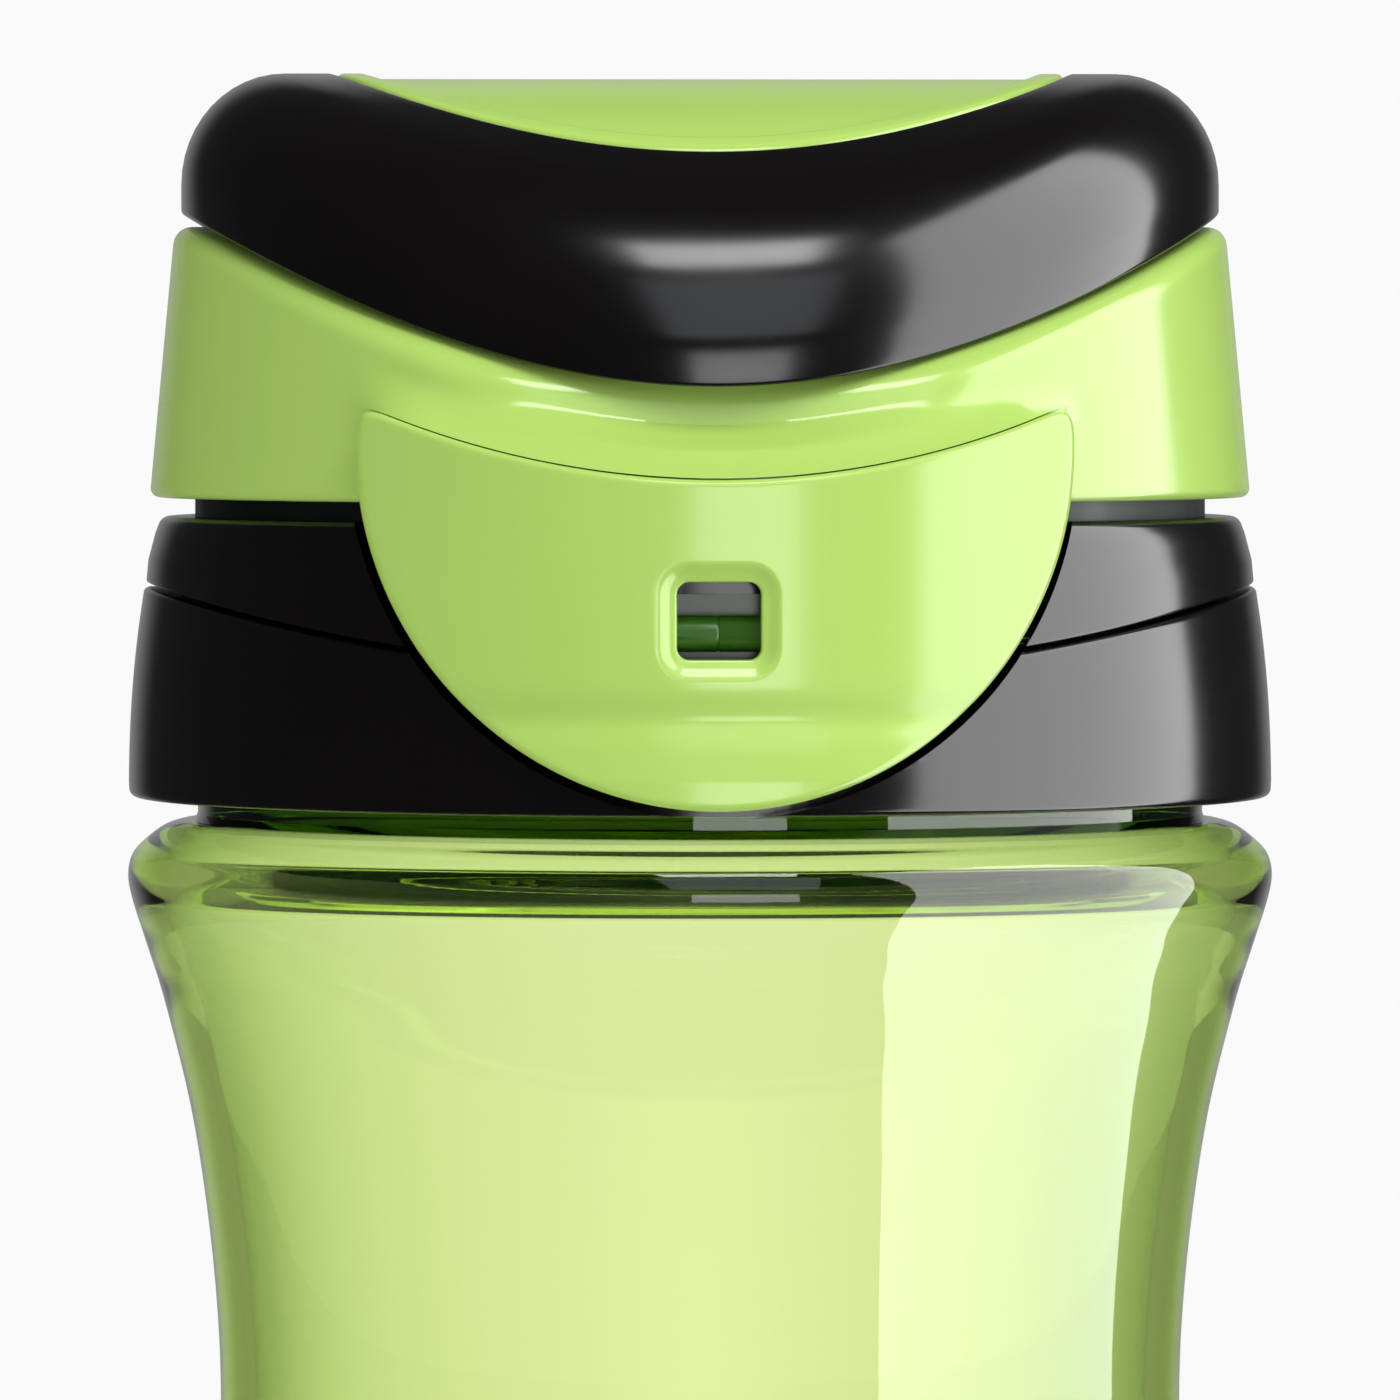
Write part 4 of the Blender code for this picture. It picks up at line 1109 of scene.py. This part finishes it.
small_turned("vent_umbrella", "vent_valve", "lid", [
    (0.0, FLANGE_LOW + 0.9), (2.0, FLANGE_LOW + 0.8, 1.0), (3.6, FLANGE_LOW + 0.3, 0.15),
    (3.6, FLANGE_LOW), (1.3, FLANGE_LOW), (1.3, PLATE_LOW - 0.3), (1.9, PLATE_LOW - 0.4, 0.1),
    (0.8, PLATE_LOW - 2.2, 0.2), (0.0, PLATE_LOW - 2.2),
], VENT_Y, closed=False)

# %% [markdown]
# Deeper in sit the ring that holds the spout, the slit valve under it and the
# seal between rim and lid. They show through the clear neck. The steel axle at
# the back carries the cap.

# %% Retainer, slit valve, rim seal and hinge axle
ring_top, ring_low = high("spout_retainer").z, low("spout_retainer").z
small_turned("spout_ring", "spout_retainer", "lid", [
    (8.2, ring_top, 0.2), (11.5, ring_top, 0.3), (11.5, ring_low, 0.4),
    (5.2, ring_low, 0.3), (5.2, ring_low + 1.3, 0.2), (8.2, ring_low + 1.3),
], SPOUT_Y)

valve_top = high("flow_valve").z
valve_seat = valve_top - 1.0
valve = lathe("slit_valve", [
    (0.0, valve_seat - 2.0), (3.2, valve_seat - 1.5, 1.5), (4.9, valve_seat, 0.3),
    (7.9, valve_seat, 0.2), (7.9, valve_top, 0.2), (4.2, valve_top, 0.2),
    (2.6, valve_seat - 0.8, 0.8), (0.0, valve_seat - 1.2),
], 0.8, False, SMALL_SIDES, (0.0, SPOUT_Y))
slit_low = (-1.8, SPOUT_Y - 0.1, valve_seat - 3)
slit_high = (1.8, SPOUT_Y + 0.1, valve_top + 1)
carve(valve, block("valve_slit", slit_low, slit_high))
dress(valve, silicone, "lid", "silicone", "flow_valve")

seal_low, seal_top = low("neck_gasket").z, high("neck_gasket").z
seal_middle = (seal_low + seal_top) / 2
bulge_r = high("neck_gasket").x
small_turned("rim_seal", "neck_gasket", "gasket", [
    (27.5, seal_low, 0.15), (bulge_r - 0.15, seal_low, 0.15), (bulge_r, seal_middle, 0.5),
    (bulge_r - 0.15, seal_top, 0.15), (27.5, seal_top, 0.15),
], 0.0)

axle_end, axle_r = high("hinge_pin").x, high("hinge_pin").z - HINGE_Z
axle = bar("hinge_axle", axle_end, HINGE_Y, HINGE_Z, axle_r)
dress(axle, steel, "lid", "steel", "hinge_pin")

# %% [markdown]
# ## Springs
# The torsion spring behind is one wire: a line of points, with a round section
# swept along it by a small geometry tree. The leaf behind the tab lies low in
# its pocket, where it stays clear of the tab at full press.

# %% Wire tree and the two springs
def make_wire_tree():
    tree, given = new_tree("wire", ["Wire Radius"])
    path = tree.nodes.new("GeometryNodeMeshToCurve")
    section = tree.nodes.new("GeometryNodeCurvePrimitiveCircle")
    section.inputs["Resolution"].default_value = 16
    sweep = tree.nodes.new("GeometryNodeCurveToMesh")
    sweep.inputs["Fill Caps"].default_value = True
    tree.links.new(given["Geometry"], path.inputs["Mesh"])
    tree.links.new(given["Wire Radius"], section.inputs["Radius"])
    tree.links.new(path.outputs[0], sweep.inputs["Curve"])
    tree.links.new(section.outputs[0], sweep.inputs["Profile Curve"])
    close_tree(tree, sweep.outputs[0], given["Material"])
    return tree


def make_hinge_coil():
    coil_r, turns, half, steps = 1.55, 4.75, 2.6, 228
    points = [(-half, HINGE_Y - 2.2, HINGE_Z - coil_r)]
    for k in range(steps + 1):
        angle = -math.pi / 2 - 2 * math.pi * turns * k / steps
        y, z = HINGE_Y + coil_r * math.cos(angle), HINGE_Z + coil_r * math.sin(angle)
        points.append((half * (2 * k / steps - 1), y, z))
    points.append((half, points[-1][1], HINGE_Z + 2.6))
    mesh = bpy.data.meshes.new("coil_path")
    edges = [(k, k + 1) for k in range(len(points) - 1)]
    mesh.from_pydata([Vector(point) * MM for point in points], edges, [])
    path = bpy.data.objects.new("coil_path", mesh)
    bpy.context.scene.collection.objects.link(path)
    run_tree(path, make_wire_tree(), material=steel, wire_radius=0.26 * MM)
    coil = finished("hinge_coil", path.data.copy())
    bpy.data.objects.remove(path)
    return coil


def make_leaf():
    foot_y, bow, thick, half, steps = -33.7, 0.1, 0.25, 3.0, 24
    rings = []
    for k in range(steps + 1):
        y = foot_y - bow * (0.5 - 0.5 * math.cos(math.pi * k / steps))
        z = 151.6 - 4.2 * k / steps
        rings.append([(-half, y, z), (half, y, z), (half, y - thick, z), (-half, y - thick, z)])
    return skin("latch_leaf", rings, capped=True)


dress(make_hinge_coil(), steel, "lid", SLOTS["hinge_spring"], "hinge_spring")
dress(make_leaf(), steel, "lid", SLOTS["latch_spring"], "latch_spring")

# %% [markdown]
# ## The piece kept from the frame
# The lid's inner body hides behind the two rings, and only its top plate shows
# when the cap is open. It keeps its engineering shape and gets its finish here.

# %% Finish the carried-over nodes
for part in frame["record"]["subparts"]:
    node = frame["nodes"][part["node"]]
    if node.hide_render:
        continue
    node.data.materials.clear()
    node.data.materials.append(FINISHES[part["material_slot"]])
    print("kept", part["node"])

# %% [markdown]
# ## Studio
# A pale round floor and a white world that answers each kind of ray on its own.
# The camera sees white, and diffuse light comes evenly from all round. Black
# plastic only looks black if most of what it mirrors is dark, so mirror rays
# find a dim room with a paler wall behind the bottle. Rays that come through
# the clear wall see white ahead and grey to the left and right, which draws the
# dark edges that clear plastic has in front of a lit screen.

# %% World and floor
CAMERA_SEES = 0.95
DIFFUSE_SEES = 0.62
WALL_FROM, WALL_FULL = 0.85, 0.98          # how squarely a ray points backwards
ROOM_SEES, WALL_SEES = 0.04, 0.35
SCREEN = [                                 # how far sideways, how bright
    (0.0, 0.97), (0.08, 0.97), (0.16, 0.9), (0.3, 0.68), (0.45, 0.42), (1.0, 0.4),
]


def make_world():
    world = bpy.data.worlds.new("pale_studio")
    world.use_nodes = True
    tree = world.node_tree
    background = tree.nodes["Background"]
    path = tree.nodes.new("ShaderNodeLightPath")
    place = tree.nodes.new("ShaderNodeTexCoord")
    split = tree.nodes.new("ShaderNodeSeparateXYZ")
    tree.links.new(place.outputs["Generated"], split.inputs[0])
    wall = between(tree, split.outputs[1], ROOM_SEES, WALL_SEES, WALL_FROM, WALL_FULL)
    pale = add_math(tree, "MULTIPLY", path.outputs["Is Camera Ray"], CAMERA_SEES)
    field = tree.nodes.new("ShaderNodeValToRGB")
    field.color_ramp.interpolation = "B_SPLINE"
    while len(field.color_ramp.elements) < len(SCREEN):
        field.color_ramp.elements.new(0.5)
    for element, (place_x, level) in zip(field.color_ramp.elements, SCREEN):
        element.position = place_x
        element.color = (level, level, level, 1.0)
    sideways = add_math(tree, "ABSOLUTE", split.outputs[0])
    tree.links.new(sideways, field.inputs[0])
    through = add_math(tree, "MULTIPLY", path.outputs["Is Transmission Ray"], field.outputs["Color"])
    mirrored = add_math(tree, "MULTIPLY", path.outputs["Is Glossy Ray"], wall)
    lit = add_math(tree, "MULTIPLY", path.outputs["Is Diffuse Ray"], DIFFUSE_SEES)
    seen = add_math(tree, "MAXIMUM", pale, through)
    rest = add_math(tree, "MAXIMUM", mirrored, lit)
    tree.links.new(add_math(tree, "MAXIMUM", seen, rest), background.inputs["Strength"])
    background.inputs["Color"].default_value = (1.0, 1.0, 1.0, 1.0)
    bpy.context.scene.world = world


FLOOR_Z = -0.02                  # a hair under the bottle's foot


def make_floor():
    material = moulded("pale_floor", (0.88, 0.88, 0.88), (0.9, 0.9, 0.9), (0.7, 0.8))
    outline = [(radius, FLOOR_Z) for radius in (0.0, 150.0, 600.0)]
    floor = turned("studio_floor", outline, SMALL_SIDES, closed=False)
    floor.data.materials.append(material)
    floor.visible_glossy = False


make_world()
make_floor()

# %% [markdown]
# A tall soft panel at the right gives the bright band down the plastic. Small
# ones in front and overhead give the soft sheen on the crown. These four are
# there for their mirror images, so they are kept out of the diffuse light, and
# one broad lamp that no surface mirrors does the shading.

# %% Lights
def aimed(thing, azimuth, elevation, distance, aim):
    """Look at a point; azimuth 0 is in front and 90 at the right, as seen."""
    a, e = math.radians(azimuth), math.radians(elevation)
    way = Vector((math.sin(a) * math.cos(e), -math.cos(a) * math.cos(e), math.sin(e)))
    thing.location = Vector(aim) + way * distance
    thing.rotation_euler = (-way).to_track_quat("-Z", "Y").to_euler()
    bpy.context.scene.collection.objects.link(thing)
    return thing


def panel(name, azimuth, elevation, distance, width, tall, power, colour=(1, 1, 1), aim_z=0.15):
    data = bpy.data.lights.new(name, "AREA")
    data.shape = "RECTANGLE"
    data.size = width
    data.size_y = tall
    data.energy = power * width * tall * math.pi
    data.color = colour
    light = bpy.data.objects.new(name, data)
    light.visible_camera = False
    light.visible_transmission = False
    return aimed(light, azimuth, elevation, distance, (0, 0, aim_z))


SHEENS = [
    panel("side_panel", 75, 0, 0.30, 0.43, 0.9, 5.3, aim_z=0.22),
    panel("front_panel", 7, -1, 0.9, 0.33, 0.24, 4.2, (0.97, 0.98, 1.0)),
    panel("bridge_panel", 7, 32, 0.9, 0.46, 0.5, 1.3, (0.9, 0.95, 1.0)),
    panel("top_panel", 6, 58, 0.7, 0.26, 0.13, 11.0),
]
for sheen in SHEENS:
    sheen.visible_diffuse = False
key_light = panel("key_light", 46, 50, 1.0, 0.6, 0.6, 6.2)
key_light.visible_glossy = False

# %% [markdown]
# ## Camera
# A long lens, level with the lid, looks down by less than two degrees from a
# touch to the left of the front.

# %% Camera
AIM_Z = 0.1505
CAMERA_DISTANCE = 0.737
CAMERA_AZIMUTH = -1.84
CAMERA_ELEVATION = 1.7

camera_data = bpy.data.cameras.new("product_camera")
camera_data.lens = 300.0
camera_data.sensor_width = 36.0
camera = bpy.data.objects.new("product_camera", camera_data)
aimed(camera, CAMERA_AZIMUTH, CAMERA_ELEVATION, CAMERA_DISTANCE, (0, 0, AIM_Z))
bpy.context.scene.camera = camera
bpy.context.scene.view_settings.view_transform = "Standard"
